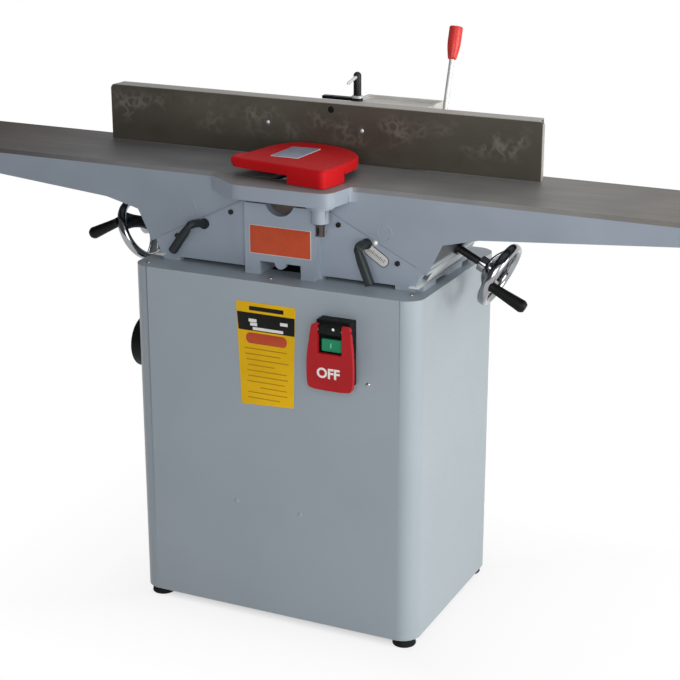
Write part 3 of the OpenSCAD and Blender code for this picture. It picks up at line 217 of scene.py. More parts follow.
def rounded_rectangle(width, height, radius, steps=8):
    """Outline of a rectangle with round corners, counter-clockwise round the origin."""
    quarter = np.linspace(0, np.pi / 2, steps)
    turn = (quarter[None] + np.arange(4)[:, None] * np.pi / 2).ravel()
    sign = np.array([[1, 1], [-1, 1], [-1, -1], [1, -1]]).repeat(steps, axis=0)
    corner = np.array([width / 2 - radius, height / 2 - radius])
    return sign * corner + radius * np.stack([np.cos(turn), np.sin(turn)], 1)


def bent(points, steps=8):
    """A closed outline with parabolas for corners: B(t) = (1-t)^2 a + 2t(1-t) corner + t^2 c, where a and c
    lie a share s of the way to the corners before and after. Each row of points is x, y, s."""
    points = np.asarray(points, float)
    spots, share = points[:, :2], points[:, 2:]
    a, c = (spots + share * (np.roll(spots, way, 0) - spots) for way in (1, -1))
    t = np.linspace(0, 1, steps)[None, :, None]
    return ((1 - t) ** 2 * a[:, None] + 2 * t * (1 - t) * spots[:, None] + t ** 2 * c[:, None]).reshape(-1, 2)


def sideways(runs):
    """Unit vectors to the right of flat runs."""
    return unit(runs) @ np.array([[0.0, -1.0], [1.0, 0.0]])


def plate(outline, thick, edge, middle, right_way, up_way, steps=4):
    """A plate with a rounded front edge: the outline moves in by edge (1 - cos t) while it rises by
    edge sin t along the plate's face."""
    one = sideways(outline - np.roll(outline, 1, 0))
    two = sideways(np.roll(outline, -1, 0) - outline)
    out = (one + two) / (1 + np.sum(one * two, axis=1, keepdims=True))
    bend = np.linspace(0, np.pi / 2, steps)
    inset = np.r_[0, edge * (1 - np.cos(bend))]
    height = np.r_[0, thick - edge + edge * np.sin(bend)]
    rings = outline[None] - inset[:, None, None] * out[None]
    points = np.asarray(middle) + rings[..., :1] * unit(right_way) + rings[..., 1:] * unit(up_way)
    return tube(points + height[:, None, None] * unit(np.cross(right_way, up_way)))


def stroke(first, last, width, face):
    """A flat bar between two points, about a third of its width thick, that lies on a face."""
    radius, thick, edge = width * np.array([0.3, 0.35, 0.1])
    run, face = unit(last - first), unit(face)
    outline = rounded_rectangle(np.linalg.norm(last - first) + width, width, radius, 3)
    return plate(outline, thick, edge, (first + last) / 2, run, np.cross(face, run), 2)


print("helpers ready")

# %% [markdown]
# ## From surface to piece
# A piece is a mesh with merged seams, faces turned outward, edges sharper than an angle kept crisp, a finish,
# and the body that it rides on. Pieces that stand for a CAD node hide it.

# %% Piece helpers
seam_gap = 2e-6
flat_angle, rounded_angle, crisp_angle = 0.4, 38, 34
shortest_edge = 2.2


def settle(mesh, tone, angle):
    """Smooth shading with crisp edges where two faces meet at more than an angle, and one finish."""
    mesh.shade_smooth()
    mesh.set_sharp_from_angle(angle=math.radians(angle))
    mesh.materials.clear()
    mesh.materials.append(tone)


def put(name, work, tone, body, stands_for, angle):
    """Makes an object of a working mesh, and puts it on a body."""
    mesh = bpy.data.meshes.new(name)
    work.to_mesh(mesh)
    work.free()
    settle(mesh, tone, angle)
    made = bpy.data.objects.new(name, mesh)
    scene.collection.objects.link(made)
    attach(made, body)
    if stands_for:
        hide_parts(stands_for)
    return made


def piece(name, surface, tone, body, stands_for=None, angle=32):
    """Makes one piece from points and faces."""
    raw = bpy.data.meshes.new(name + "_raw")
    raw.from_pydata(np.asarray(surface[0]).tolist(), [], surface[1])
    work = bmesh.new()
    work.from_mesh(raw)
    bpy.data.meshes.remove(raw)
    bmesh.ops.remove_doubles(work, verts=work.verts, dist=seam_gap)
    bmesh.ops.recalc_face_normals(work, faces=work.faces)
    return put(name, work, tone, body, stands_for, angle)


def dressed(part, tone, width, segments=3, wanted=None):
    """A copy of a CAD node with merged flats and edges rounded by a width, which stands for it. wanted picks
    the edges to round by the two end points of each; edges shorter than 2.2 widths stay sharp."""
    solid = frame["nodes"][part]
    work = bmesh.new()
    work.from_mesh(solid.data)
    bmesh.ops.remove_doubles(work, verts=work.verts, dist=seam_gap)
    bmesh.ops.dissolve_limit(work, angle_limit=math.radians(flat_angle), verts=work.verts, edges=work.edges)
    sharp = [edge for edge in work.edges
             if len(edge.link_faces) == 2 and edge.calc_face_angle() > math.radians(rounded_angle)
             and edge.calc_length() > shortest_edge * width
             and (wanted is None or wanted(*[np.array(end.co) for end in edge.verts]))]
    bmesh.ops.bevel(work, geom=sharp, offset=width, offset_type="OFFSET", segments=segments, profile=0.5,
                    affect="EDGES", clamp_overlap=True)
    made = put(part + "_dressed", work, tone, solid["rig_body"], part, crisp_angle)
    made.modifiers.new("even_normals", "WEIGHTED_NORMAL").keep_sharp = True


print("piece helpers ready")

# %% [markdown]
# ## Finishes
# Each finish is a procedural material read from object coordinates: colour wanders between tones by coarse
# noise, roughness by finer noise, and the finest noise lifts the surface a little.

# %% Finish helpers
rough_cells = 120.0


def tint(red, green, blue):
    """A colour given in display bytes, as linear light."""
    c = np.array([red, green, blue]) / 255
    linear = np.where(c <= 0.04045, c / 12.92, ((c + 0.055) / 1.055) ** 2.4)
    return (*linear.tolist(), 1.0)


def grey(level):
    """A grey given in linear light."""
    return (level, level, level, 1.0)


def feed(tree, made, inputs):
    """Sets the inputs of a shader node, or links them where the value comes out of another node."""
    for key, value in inputs.items():
        if isinstance(value, bpy.types.NodeSocket):
            tree.links.new(value, made.inputs[key])
        else:
            made.inputs[key].default_value = value


def node(tree, kind, inputs=None, **settings):
    """Adds a shader node."""
    made = tree.nodes.new(kind)
    for key, value in settings.items():
        setattr(made, key, value)
    feed(tree, made, inputs or {})
    return made


def calc(tree, operation, value, *others):
    """Arithmetic from left to right: each of the others in turn joins the value so far."""
    for other in others:
        value = node(tree, "ShaderNodeMath", {0: value, 1: other}, operation=operation).outputs[0]
    return value


def axes(tree, place):
    """The X, Y and Z of a place."""
    return node(tree, "ShaderNodeSeparateXYZ", {"Vector": place}).outputs


def start(name):
    """A new material, its tree, its main shader and the object coordinates."""
    material = bpy.data.materials.new(name)
    material.use_nodes = True
    tree = material.node_tree
    place = tree.nodes.new("ShaderNodeTexCoord").outputs["Object"]
    return material, tree, tree.nodes["Principled BSDF"], place


def noise(tree, place, scale, detail=3.0, stretch=None):
    """Noise of so many cells a metre, pulled out along an axis where stretch is under 1."""
    if stretch:
        place = node(tree, "ShaderNodeMapping", {"Vector": place, "Scale": stretch}).outputs["Vector"]
    inputs = {"Vector": place, "Scale": scale, "Detail": detail, "Roughness": 0.5}
    return node(tree, "ShaderNodeTexNoise", inputs).outputs["Fac"]


def ramp(tree, value, *stops):
    """Colours at stops along a value."""
    made = node(tree, "ShaderNodeValToRGB", {"Fac": value})
    points = made.color_ramp.elements
    points[0].position, points[0].color = stops[0]
    points[1].position, points[1].color = stops[-1]
    for position, colour in stops[1:-1]:
        points.new(position).color = colour
    return made.outputs["Color"]


def span(tree, value, low, high, from_low=0.3, from_high=0.7, **settings):
    """A value carried from one range to another."""
    inputs = {"Value": value, "From Min": from_low, "From Max": from_high, "To Min": low, "To Max": high}
    return node(tree, "ShaderNodeMapRange", inputs, **settings).outputs["Result"]


def mixed(tree, share, low, high, how="MIX"):
    """Colours low and high mixed by a share."""
    made = node(tree, "ShaderNodeMix", {0: share, 6: low, 7: high}, data_type="RGBA", blend_type=how)
    return made.outputs[2]


def bump(tree, height, lift):
    """A surface raised by a height from 0 to 1, times a lift in millimetres."""
    inputs = {"Height": height, "Distance": lift * mm, "Strength": 1.0}
    return node(tree, "ShaderNodeBump", inputs).outputs["Normal"]


def finish(name, dark, light, cells, rough, grain, lift, metal=0.0, coat=0.0, gloss=0.5):
    """Colour wanders between two tones by noise of so many cells a metre, roughness between two values, and
    a grain of so many cells a metre lifts the surface by so many millimetres."""
    material, tree, shader, place = start(name)
    feed(tree, shader, {
        "Base Color": ramp(tree, noise(tree, place, cells, 4.0), (0.3, tint(*dark)), (0.7, tint(*light))),
        "Roughness": span(tree, noise(tree, place, rough_cells), *rough),
        "Normal": bump(tree, noise(tree, place, grain, 2.0), lift),
        "Metallic": metal, "Coat Weight": coat, "Specular IOR Level": gloss})
    return material


print("finish helpers ready")

# %% Paints and plastics
enamel = finish("enamel", (149, 160, 169), (154, 165, 174), 5, (0.34, 0.42), 520, 0.03, coat=0.05)
cast_enamel = finish("cast_enamel", (142, 153, 167), (150, 161, 175), 9, (0.38, 0.5), 210, 0.12, coat=0.05)
pale_cast = finish("pale_cast", (200, 198, 194), (216, 214, 210), 14, (0.4, 0.52), 260, 0.08)
motor_paint = finish("motor_paint", (70, 76, 82), (82, 88, 94), 20, (0.4, 0.5), 350, 0.06)
seam_shade = finish("seam_shade", (118, 126, 134), (126, 134, 142), 60, (0.6, 0.7), 600, 0.01, gloss=0.1)
guard_red = finish("guard_red", (184, 17, 23), (196, 23, 29), 8, (0.5, 0.6), 320, 0.06, gloss=0.12)
paddle_red = finish("paddle_red", (168, 22, 29), (176, 28, 35), 20, (0.36, 0.44), 600, 0.02, gloss=0.25)
grip_red = finish("grip_red", (204, 54, 50), (214, 62, 56), 30, (0.3, 0.38), 800, 0.01, gloss=0.3)
button_green = finish("button_green", (26, 132, 92), (34, 142, 100), 40, (0.32, 0.4), 900, 0.01, gloss=0.25)
black_plastic = finish("black_plastic", (11, 12, 13), (17, 18, 19), 60, (0.46, 0.56), 1100, 0.03, gloss=0.15)
lever_black = finish("lever_black", (20, 28, 31), (29, 37, 40), 60, (0.4, 0.5), 700, 0.04, gloss=0.3)
rubber = finish("rubber", (10, 10, 11), (18, 18, 19), 90, (0.7, 0.85), 900, 0.06, gloss=0.2)
print("paints and plastics:", len(bpy.data.materials))

# %% Metals
black_steel = finish("black_steel", (14, 14, 15), (24, 24, 25), 45, (0.34, 0.46), 700, 0.02, gloss=0.3)
dark_steel = finish("dark_steel", (62, 56, 54), (78, 70, 68), 60, (0.34, 0.46), 700, 0.02, 0.8)
chrome = finish("chrome", (150, 151, 154), (168, 169, 172), 30, (0.1, 0.17), 260, 0.004, 1.0)
steel = finish("steel", (150, 150, 150), (176, 176, 176), 60, (0.25, 0.4), 800, 0.01, 1.0)
# Pale and barely metallic: its light colour is a painted reflection, standing in for the white that steel and
# chrome mirror.
steel_painted_reflection = finish("steel_painted_reflection", (206, 206, 206), (222, 222, 222), 40, (0.3, 0.4), 600, 0.01, 0.25)
# Near white: machined metal with a painted highlight where light falls on the bed's end.
machined = finish("machined", (232, 232, 230), (244, 244, 242), 30, (0.4, 0.5), 500, 0.01)
dull_iron = finish("dull_iron", (88, 88, 90), (108, 108, 110), 60, (0.45, 0.6), 500, 0.05, 0.8)
bearing_brown = finish("bearing_brown", (86, 77, 72), (100, 90, 84), 60, (0.45, 0.55), 500, 0.04, 0.2)
brass = finish("brass", (176, 142, 78), (194, 160, 92), 50, (0.3, 0.42), 600, 0.01, 1.0)
print("with metals:", len(bpy.data.materials))

# %% Plates and inks
plate_orange = finish("plate_orange", (184, 72, 42), (194, 80, 48), 40, (0.36, 0.46), 700, 0.004, gloss=0.25)
plate_pale = finish("plate_pale", (196, 196, 194), (208, 208, 206), 40, (0.36, 0.46), 700, 0.004, gloss=0.3)
plate_yellow = finish("plate_yellow", (227, 178, 18), (235, 186, 24), 25, (0.4, 0.5), 700, 0.004, gloss=0.15)
plate_black = finish("plate_black", (14, 16, 12), (20, 22, 18), 40, (0.4, 0.5), 700, 0.004, gloss=0.15)
plate_ochre = finish("plate_ochre", (182, 134, 20), (190, 142, 24), 60, (0.4, 0.5), 700, 0.004, gloss=0.15)
plate_blue = finish("plate_blue", (134, 140, 160), (150, 154, 172), 60, (0.4, 0.5), 700, 0.004, gloss=0.2)
white_ink = finish("white_ink", (228, 226, 224), (238, 236, 234), 80, (0.4, 0.5), 900, 0.002)
mint_ink = finish("mint_ink", (120, 190, 164), (132, 200, 174), 80, (0.4, 0.5), 900, 0.002)
print("with plates and inks:", len(bpy.data.materials))

# %% [markdown]
# ## Ground iron
# The tables are cast, painted below and ground on top. One material does both: a step on the height mixes
# painted casting and ground iron. Along X the iron is partly worn and partly painted shade: dark brown at the
# left end, grey toward the cutterhead and tan at the right end. Inside, the saddle under each table has a
# dark tone of painted shade, and its sloping end is planed, with painted shadow darkening it toward the top.
# The fence is scraped, which leaves soft crescents.

# %% Finish of the tables
bare_edge, ledge_step, tone_reach = 8 * mm, 3 * mm, 0.75
saddle_z, saddle_end, end_slope = 0.8, -0.0675, 0.4877
shade_low, shade_high = 0.706, 0.722
along_x, along_y = (0.012, 1.0, 1.0), (1.0, 0.02, 1.0)
blotchy = (0.6, 1.0, 1.0)


def table_paint(tree, place):
    """Enamel on the front. Behind it, below the height of the saddle, a dark tone of painted shade in the
    hollow, and where |X| - slope Z passes the sloping end of the saddle, planed streaks along Y under a
    painted shadow that darkens with height."""
    x, y, z = axes(tree, place)
    cloud = noise(tree, place, 9.0, 4.0)
    enamelled = ramp(tree, cloud, (0.3, tint(139, 149, 162)), (0.7, tint(147, 157, 170)))
    behind = span(tree, y, 0.0, 1.0, apron_y + 0.6 * mm, apron_y + 2.5 * mm)
    inner = calc(tree, "MULTIPLY", behind, span(tree, z, 1.0, 0.0, saddle_z, saddle_z + 3 * mm))
    streak = noise(tree, place, 150.0, 2.0, along_y)
    streaks = ramp(tree, streak, (0.36, tint(112, 121, 128)), (0.6, tint(202, 209, 215)))
    # Painted shadow: the planed streaks at the saddle's end turn dark toward its top.
    planed = mixed(tree, span(tree, z, 0.0, 1.0, shade_low, shade_high), streaks, tint(44, 50, 55))
    away = node(tree, "ShaderNodeMath", {0: x}, operation="ABSOLUTE").outputs[0]
    past = calc(tree, "SUBTRACT", away, calc(tree, "MULTIPLY", z, end_slope))
    at_end = calc(tree, "MULTIPLY", inner, span(tree, past, 0.0, 1.0, saddle_end - 1 * mm, saddle_end))
    # The dark tone inside the saddle is painted shade of its hollow.
    return mixed(tree, at_end, mixed(tree, inner, enamelled, tint(70, 74, 78)), planed)


def table_finish(name):
    """Paint below, ground iron above: share(z) steps from 0 to 1 where the bare edge begins, and on the ledge
    that stands in front of the apron only at its very top."""
    material, tree, shader, place = start(name)
    x, y, z = axes(tree, place)
    ledge_y, bare_z = apron_y - ledge_step, table_top - bare_edge
    lowered = calc(tree, "SUBTRACT", z, span(tree, y, bare_edge, 0.0, ledge_y - 0.5 * mm, ledge_y))
    share = span(tree, lowered, 0.0, 1.0, bare_z - 0.9 * mm, bare_z - 0.3 * mm)
    # The iron's tone along X is partly wear and partly painted shade: dark brown at the left end, grey toward
    # the cutterhead, tan at the right end.
    wear_and_painted_shade = ramp(tree, span(tree, x, 0.0, 1.0, -tone_reach, tone_reach), (0.0, tint(72, 60, 52)),
               (0.3, tint(130, 131, 133)), (0.75, tint(142, 142, 142)), (1.0, tint(118, 112, 105)))
    blotch = ramp(tree, noise(tree, place, 9.0, 5.0, blotchy), (0.3, grey(0.66)), (0.75, grey(1.0)))
    iron = mixed(tree, 1.0, wear_and_painted_shade, blotch, "MULTIPLY")
    lines = noise(tree, place, 420.0, 3.0, along_x)
    cast = bump(tree, noise(tree, place, 210.0, 2.0), 0.1)
    feed(tree, shader, {
        "Base Color": mixed(tree, share, table_paint(tree, place), iron),
        "Metallic": calc(tree, "MULTIPLY", share, 0.25),
        "Roughness": span(tree, lines, 0.44, 0.58),
        "Normal": mixed(tree, share, cast, bump(tree, lines, 0.006))})
    return material


table_iron = table_finish("table_iron")
print("table finish ready, bare above", round(float(table_top - bare_edge), 4))

# %% Finish of the fence
arc_low, arc_high, planed_highlight_band = 0.852, 0.946, 1.6 * mm


def fence_finish(name):
    """Scraped iron: soft arcs, which are pieces of the level lines of a noise, in a band at mid height. The
    top edge and the right end are planed, and painted lighter as a highlight where light falls on them."""
    material, tree, shader, place = start(name)
    x, _, z = axes(tree, place)
    none, full = grey(0.0), grey(1.0)
    arcs = ramp(tree, noise(tree, place, 58.0, 1.0), (0.36, none), (0.5, full), (0.64, none))
    height = span(tree, z, 0.0, 1.0, arc_low, arc_high)
    band = ramp(tree, height, (0.16, none), (0.42, full), (0.66, full), (0.95, none))
    patch = ramp(tree, noise(tree, place, 17.0), (0.44, none), (0.66, full))
    blotch = noise(tree, place, 8.0, 5.0, blotchy)
    iron = ramp(tree, blotch, (0.3, tint(78, 74, 66)), (0.7, tint(98, 94, 84)))
    face = mixed(tree, calc(tree, "MULTIPLY", arcs, band, patch), iron, tint(126, 122, 114))
    # Painted highlight: a lighter band along the planed top edge and the right end.
    near = [span(tree, value, 0.0, 1.0, edge - planed_highlight_band, edge - planed_highlight_band / 2)
            for value, edge in ((z, fence_top), (x, fence_end))]
    feed(tree, shader, {
        "Base Color": mixed(tree, calc(tree, "MAXIMUM", *near), face, tint(172, 169, 164)),
        "Roughness": span(tree, noise(tree, place, 90.0), 0.4, 0.52),
        "Normal": bump(tree, noise(tree, place, 60.0, 4.0), 0.02),
        "Metallic": 0.6})
    return material


fence_iron = fence_finish("fence_iron")
print("fence finish ready, planed at", round(float(fence_top), 4))

# %% [markdown]
# ## Castings and sheet metal
# The large CAD nodes keep their shapes. Their copies have merged flats and small rounded edges that catch the
# light; the cabinet's folded top edge gets a larger radius.

# %% Dress the castings
fold_width, fold_radius = 22 * mm, 5.5 * mm


def cabinet_top_edge(a, b):
    """Edges of the folded rim around the cabinet top."""
    high = min(a[2], b[2]) > cabinet_high[2] - 0.1 * mm
    far = np.abs((a + b) / 2)[:2] - (cabinet_high[:2] - fold_width)
    return high and far.max() > 0


dressed("cabinet", enamel, fold_radius, 5, cabinet_top_edge)
dressed("rear_door", enamel, 0.5 * mm, 2)
dressed("bed_casting", cast_enamel, 1.6 * mm)
for part in ("infeed_table", "outfeed_table"):
    dressed(part, table_iron, 1.2 * mm)
dressed("fence", fence_iron, 1.0 * mm, 2)
for part in ("fence_bracket", "fence_support", "belt_cover"):
    dressed(part, cast_enamel, 1.5 * mm)
dressed("fence_carriage", pale_cast, 2.0 * mm)
print("castings dressed")

# %% [markdown]
# ## Guard
# The guard is a thick red casting with softly rounded top edges: a slab of free outline, a block under its
# front right corner and a swollen nib at its left end. Its pale plate is left bare.

# %% Make the guard
guard_low, guard_high = corners("cutter_guard")
guard_corners = np.array([
    [97, -179, 0.2], [105, -124, 0.4], [107, -65, 0.45], [93.6, -24, 0.45], [63.7, 7.9, 0.45],
    [35, 23.8, 0.45], [-2.6, 33, 0.45], [-39, 31.3, 0.45], [-63.7, 17.9, 0.45], [-80.6, -21.5, 0.45],
    [-85.8, -65, 0.45], [-89.7, -93.5, 0.4], [-100, -110, 0.35], [-97, -138, 0.3], [-78, -144.6, 0.2],
    [26, -164.7, 0.2]])
guard_stretch, guard_shift = [1.035, 1, 1], [-0.3, 0, 0]
slab_z, slab_edge, slab_overlap = 855.5 * mm, 5 * mm, 4 * mm
block_left, block_back, block_share = 22 * mm, -112 * mm, 0.997
nib_start, nib_run = np.array([-93, -140, 865]) * mm, np.array([-5.5, 40, 0]) * mm
nib_width, nib_height = 11 * mm, 9.5 * mm

outline = bent((guard_corners * guard_stretch + guard_shift) * [mm, mm, 1])
slab = plate(outline, guard_high[2] - slab_z, slab_edge, slab_z * upward, east, north, 7)
clipped = np.stack([np.maximum(outline[:, 0], block_left), np.minimum(outline[:, 1], block_back)], 1)
clipped = clipped[np.linalg.norm(clipped - np.roll(clipped, 1, 0), axis=1) > 0.01 * mm]
inward = clipped.mean(axis=0)
block = plate(inward + block_share * (clipped - inward), slab_z + slab_overlap - guard_low[2], 0.5 * mm,
              guard_low[2] * upward, east, north, 2)
s = np.linspace(0, 1, 24)
bulge = np.sqrt(np.clip(1 - (2 * s - 1) ** 4, 0.02, 1))
nib = swept(nib_start + s[:, None] * nib_run, nib_width * bulge, nib_height * bulge, upward, power=2.6)
piece("guard_form", merge(slab, block, nib), guard_red, "guard", "cutter_guard", 30)

quad = np.array([[-41, -106], [15, -105], [17, -13], [-39, -17]]) * mm
label = np.c_[quad - quad.mean(axis=0), np.full(len(quad), 0.06)]
label_place = np.array([*quad.mean(axis=0), guard_high[2]])
for name, share, thick, tone in (("guard_plate_rim", 1.0, 0.5 * mm, plate_pale),
                                 ("guard_plate", 0.95, 0.7 * mm, plate_blue)):
    field = plate(bent(label * [share, share, 1]), thick, 0.2 * mm, label_place, east, north)
    piece(name, field, tone, "guard")
print("guard made, top at", guard_high[2])

# %% [markdown]
# ## Handwheels
# A handwheel is a ring with three dished spokes: each spoke runs from the hub, set back, to the ring, and
# widens at both ends. The grip flares toward its free end.

# %% Make the handwheels
rim_r, rim_half, rim_flat = 55 * mm, 7 * mm, 1.35
hub_r, hub_back, hub_face = 14.5, -40.8, -6.8
hub_profile = np.array([[0, hub_back], [hub_r - 1, hub_back], [hub_r, hub_back + 1], [hub_r, hub_face - 8],
                        [hub_r - 2, hub_face - 1], [hub_r - 3, hub_face], [0, hub_face]]) * mm
nut_profile = np.array([[0, 0], [6.5, 0], [6.5, 2], [5, 4.5], [2.5, 6], [0, 6.4]]) * mm + [0, hub_face * mm]
spoke_root, spoke_sink, spoke_thick, dish = 9 * mm, 2 * mm, 4 * mm, 0.6
grip_low, grip_r, grip_length = 7.2, 8.6, 72
grip_tail = np.array([[10.9, 1.6], [8.6, 5.4], [7.6, 6.2], [3.2, 6.4], [0, 6.4]]) + [0, grip_length]


def handwheel(side, grip_turn):
    """One handwheel in the frame (axis, lift, front) of its own lead screw, and its grip. The spokes dish by
    1 - s^1.6 and have half widths that are least near the middle and grow with s^4 at the ring."""
    middle, axis = pivot(side + "_wheel_turn"), unit(joints[side + "_wheel_turn"]["axis"])
    lift, _ = across(axis)
    parts = [ring(middle, axis, rim_r, rim_half, rim_flat), turned(hub_profile, middle, axis),
             turned(nut_profile, middle, axis)]
    s = np.linspace(0, 1, 26)
    reach = spoke_root + s * (rim_r - spoke_sink - spoke_root)
    depth = hub_back * mm * dish * (1 - s ** 1.6)
    width = (12.5 + 2.5 * (2 * s - 0.9) ** 2 + 8.0 * s ** 4) * mm
    turns = np.radians(grip_turn + np.array([0, 120, 240]))[:, None]
    arms = np.cos(turns) * lift + np.sin(turns) * front
    for arm in arms:
        path = middle + reach[:, None] * arm + depth[:, None] * axis
        parts.append(swept(path, width, spoke_thick, axis, power=2.6))
    piece(side + "_wheel_form", merge(*parts), chrome, side + "_wheel", side + "_handwheel", 40)
    s = np.linspace(0, 1, 30)
    flare = grip_r + 3.0 * s ** 1.25 + 0.8 * np.exp(-(s / 0.06) ** 2)
    sides = np.stack([flare, grip_low + 0.6 + s * (grip_length - 9)], 1)
    profile = np.r_[[[0, grip_low], [grip_r, grip_low]], sides, grip_tail] * mm
    grip = turned(profile, middle + rim_r * arms[0], axis)
    piece(side + "_grip_form", grip, black_plastic, side + "_grip", side + "_wheel_grip")


handwheel("infeed", 94)
handwheel("outfeed", 58)
print("handwheels made")

# %% [markdown]
# ## Lock levers
# A lock lever leaves the bed square, turns a corner and hangs down as a handle that thickens toward its
# rounded end.

# %% Make the lock levers
neck_half, waist_half, handle_half, end_r = 7.4, 6.6, 8.4, 2.5 * mm
knee_run, lever_up = 12 * mm, (0.25, 0.0, 0.97)
collar_profile = np.array([[0, 0], [9.6, 0], [9.6, 5], [8.4, 7], [0, 7]]) * mm


def lock_lever(side, elbow, end):
    """A handle carried along a bent path. The path is the curve B(t) from the bed over the elbow, then a
    straight line to the end. The half width narrows over the bend, grows on the handle and closes with most
    of a quarter circle."""
    hub = pivot(side + "_lock_turn")
    root = np.array([hub[0], apron_y - 0.3 * mm, hub[2]])
    elbow, end = np.array(elbow) * mm, np.array(end) * mm
    run = unit(end - elbow)
    knee = elbow + knee_run * run
    t = np.linspace(0, 1, 26)
    bend = np.stack([(1 - t) ** 2, 2 * t * (1 - t), t ** 2], 1) @ np.stack([root, elbow, knee])
    u = np.linspace(0, 1, 20)[1:]
    handle = knee + u[:, None] * (end - end_r * run - knee)
    close = np.linspace(0, 1.4, 6)[1:]
    tail = handle[-1] + end_r * np.sin(close)[:, None] * run
    thin = neck_half + (waist_half - neck_half) * t
    thick = waist_half + (handle_half - waist_half) * np.minimum(u / 0.3, 1.0)
    half = np.r_[thin * mm, thick * mm, thick[-1] * mm - end_r * (1 - np.cos(close))]
    rod = swept(np.vstack([bend, handle, tail]), half, 0.9 * half, lever_up, power=3.4, around=32)
    form = merge(rod, turned(collar_profile, root, front, steps=48))
    piece(side + "_lock_form", form, lever_black, side + "_lock", side + "_lock_lever", 40)


lock_lever("infeed", (159, -172, 748), (185.8, -172, 680))
lock_lever("outfeed", (-166, -172, 753), (-208, -172, 694))
print("lock levers made")

# %% [markdown]
# ## Switch
# The red paddle has a slot in which the green button shows. It has a plain word, and the button the common
# bar for on.

# %% Dress the switch
dressed("switch_box", black_plastic, 2.5 * mm)
dressed("switch_paddle", paddle_red, 2.0 * mm, 4)
dressed("start_button", button_green, 1.3 * mm, 4)
button_low, button_high = corners("start_button")
paddle_y, box_y = corners("switch_paddle")[0][1], corners("switch_box")[0][1]
word_height, word_bold, word_thick = 18 * mm, 0.8 * mm, 0.15 * mm
word_x, word_z, dot_x, dot_z = np.array([135.5, 529.5, 145, 612]) * mm
mark_half, mark_width = 3.4 * mm, 2.4 * mm
dot_profile = np.array([[0, -1], [2.6, -1], [2.6, 0.2], [1.6, 0.9], [0, 1]]) * mm


def word_surface(text, height, middle):
    """A short word as a thin mesh standing on a face that looks to the front: the flat letters' X and Y
    become X and Z, and their thickness runs to the front."""
    curve = bpy.data.curves.new(text, "FONT")
    curve.body, curve.size, curve.extrude = text, height * 1.4, word_thick
    curve.align_x, curve.align_y, curve.resolution_u, curve.offset = "CENTER", "CENTER", 3, word_bold
    holder = bpy.data.objects.new(text, curve)
    scene.collection.objects.link(holder)
    mesh = bpy.data.meshes.new_from_object(holder.evaluated_get(bpy.context.evaluated_depsgraph_get()))
    bpy.data.objects.remove(holder)
    spots = np.zeros(len(mesh.vertices) * 3)
    mesh.vertices.foreach_get("co", spots)
    placed = middle + spots.reshape(-1, 3) @ np.stack([east, upward, front])
    return placed, [list(polygon.vertices) for polygon in mesh.polygons]


off_word = word_surface("OFF", word_height, np.array([word_x, paddle_y, word_z]))
piece("off_word", off_word, white_ink, "paddle")
button = (button_low + button_high) / 2
button[1] = button_low[1]
on_bar = stroke(button - mark_half * upward, button + mark_half * upward, mark_width, front)
piece("on_bar", on_bar, mint_ink, "button")
dot = turned(dot_profile, [dot_x, box_y, dot_z], front, steps=32)
piece("switch_dot", dot, white_ink, "stand")
print("switch dressed")

# %% [markdown]
# ## Plates
# Name plate, data plate and scale plate are bare: no words, no marks of a maker. The name plate and the scale
# have a rim, the data plate has blank boxes, bars and lines, and the scale has plain ticks.

# %% Fix the plates
plate_edge = 0.15 * mm
pedestal_y = corners("bed_casting")[0][1]


def front_plate(name, outline, middle, y, thick, tone):
    """A thin plate on a face that looks to the front; outline, middle and thickness are in millimetres."""
    spot = np.array([middle[0] * mm, y, middle[1] * mm])
    piece(name, plate(outline * mm, thick * mm, plate_edge, spot, east, upward), tone, "stand")


def box_plate(name, box, y, thick, tone, radius=1.5):
    """A plate with round corners, from its left, right, lower and upper edge."""
    left, right, low, high = box
    outline = rounded_rectangle(right - left, high - low, radius)
    front_plate(name, outline, ((left + right) / 2, (low + high) / 2), y, thick, tone)


def quad_plate(name, quad, y, thick, tone, soft):
    """A four-sided plate, from its corners, counter-clockwise from the lower left."""
    middle = np.mean(quad, axis=0)
    front_plate(name, bent(np.c_[quad - middle, np.full(len(quad), soft)]), middle, y, thick, tone)


box_plate("name_plate_rim", (-60, 62, 704, 757), pedestal_y, 0.8, plate_pale)
box_plate("name_plate", (-58.8, 60.8, 705.2, 755.8), pedestal_y, 1.0, plate_orange)
data_quad = [(-58.4, 431.8), (47, 437.5), (52.2, 626.6), (-66.3, 626.6)]
band_quad = [(-62, 573.6), (50.2, 573.6), (51, 607), (-64.6, 607)]
quad_plate("data_plate", data_quad, cabinet_y, 0.5, plate_yellow, 0.03)
quad_plate("data_band", band_quad, cabinet_y, 0.7, plate_black, 0.02)
data_boxes = [(-41, -25, 590, 596), (-38, -24, 583, 589), (22, 37, 590, 596), (-33, 28, 575.5, 581)]
for i, box in enumerate(data_boxes):
    box_plate(f"data_box_{i}", box, cabinet_y, 0.85, white_ink, 0.8)
box_plate("data_title", (-40, 29, 611.5, 619.5), cabinet_y, 0.6, plate_black)
box_plate("data_bar", (-47, 35, 549.5, 570), cabinet_y, 0.6, plate_orange, 9)
line_top, line_step, line_half = 540, 10.4, 1.1
line_ends = [(-50, 34), (-49, 22), (-48, 38), (-44, 10), (-46, 34), (-44, 36), (-46, 30), (-20, 34),
             (-45, 35), (-45, 20)]
for i, ends in enumerate(line_ends):
    line_z = line_top - line_step * i
    box = (*ends, line_z - line_half, line_z + line_half)
    box_plate(f"data_line_{i}", box, cabinet_y, 0.62, plate_ochre, 0.4)
print("name plate and data plate fixed")

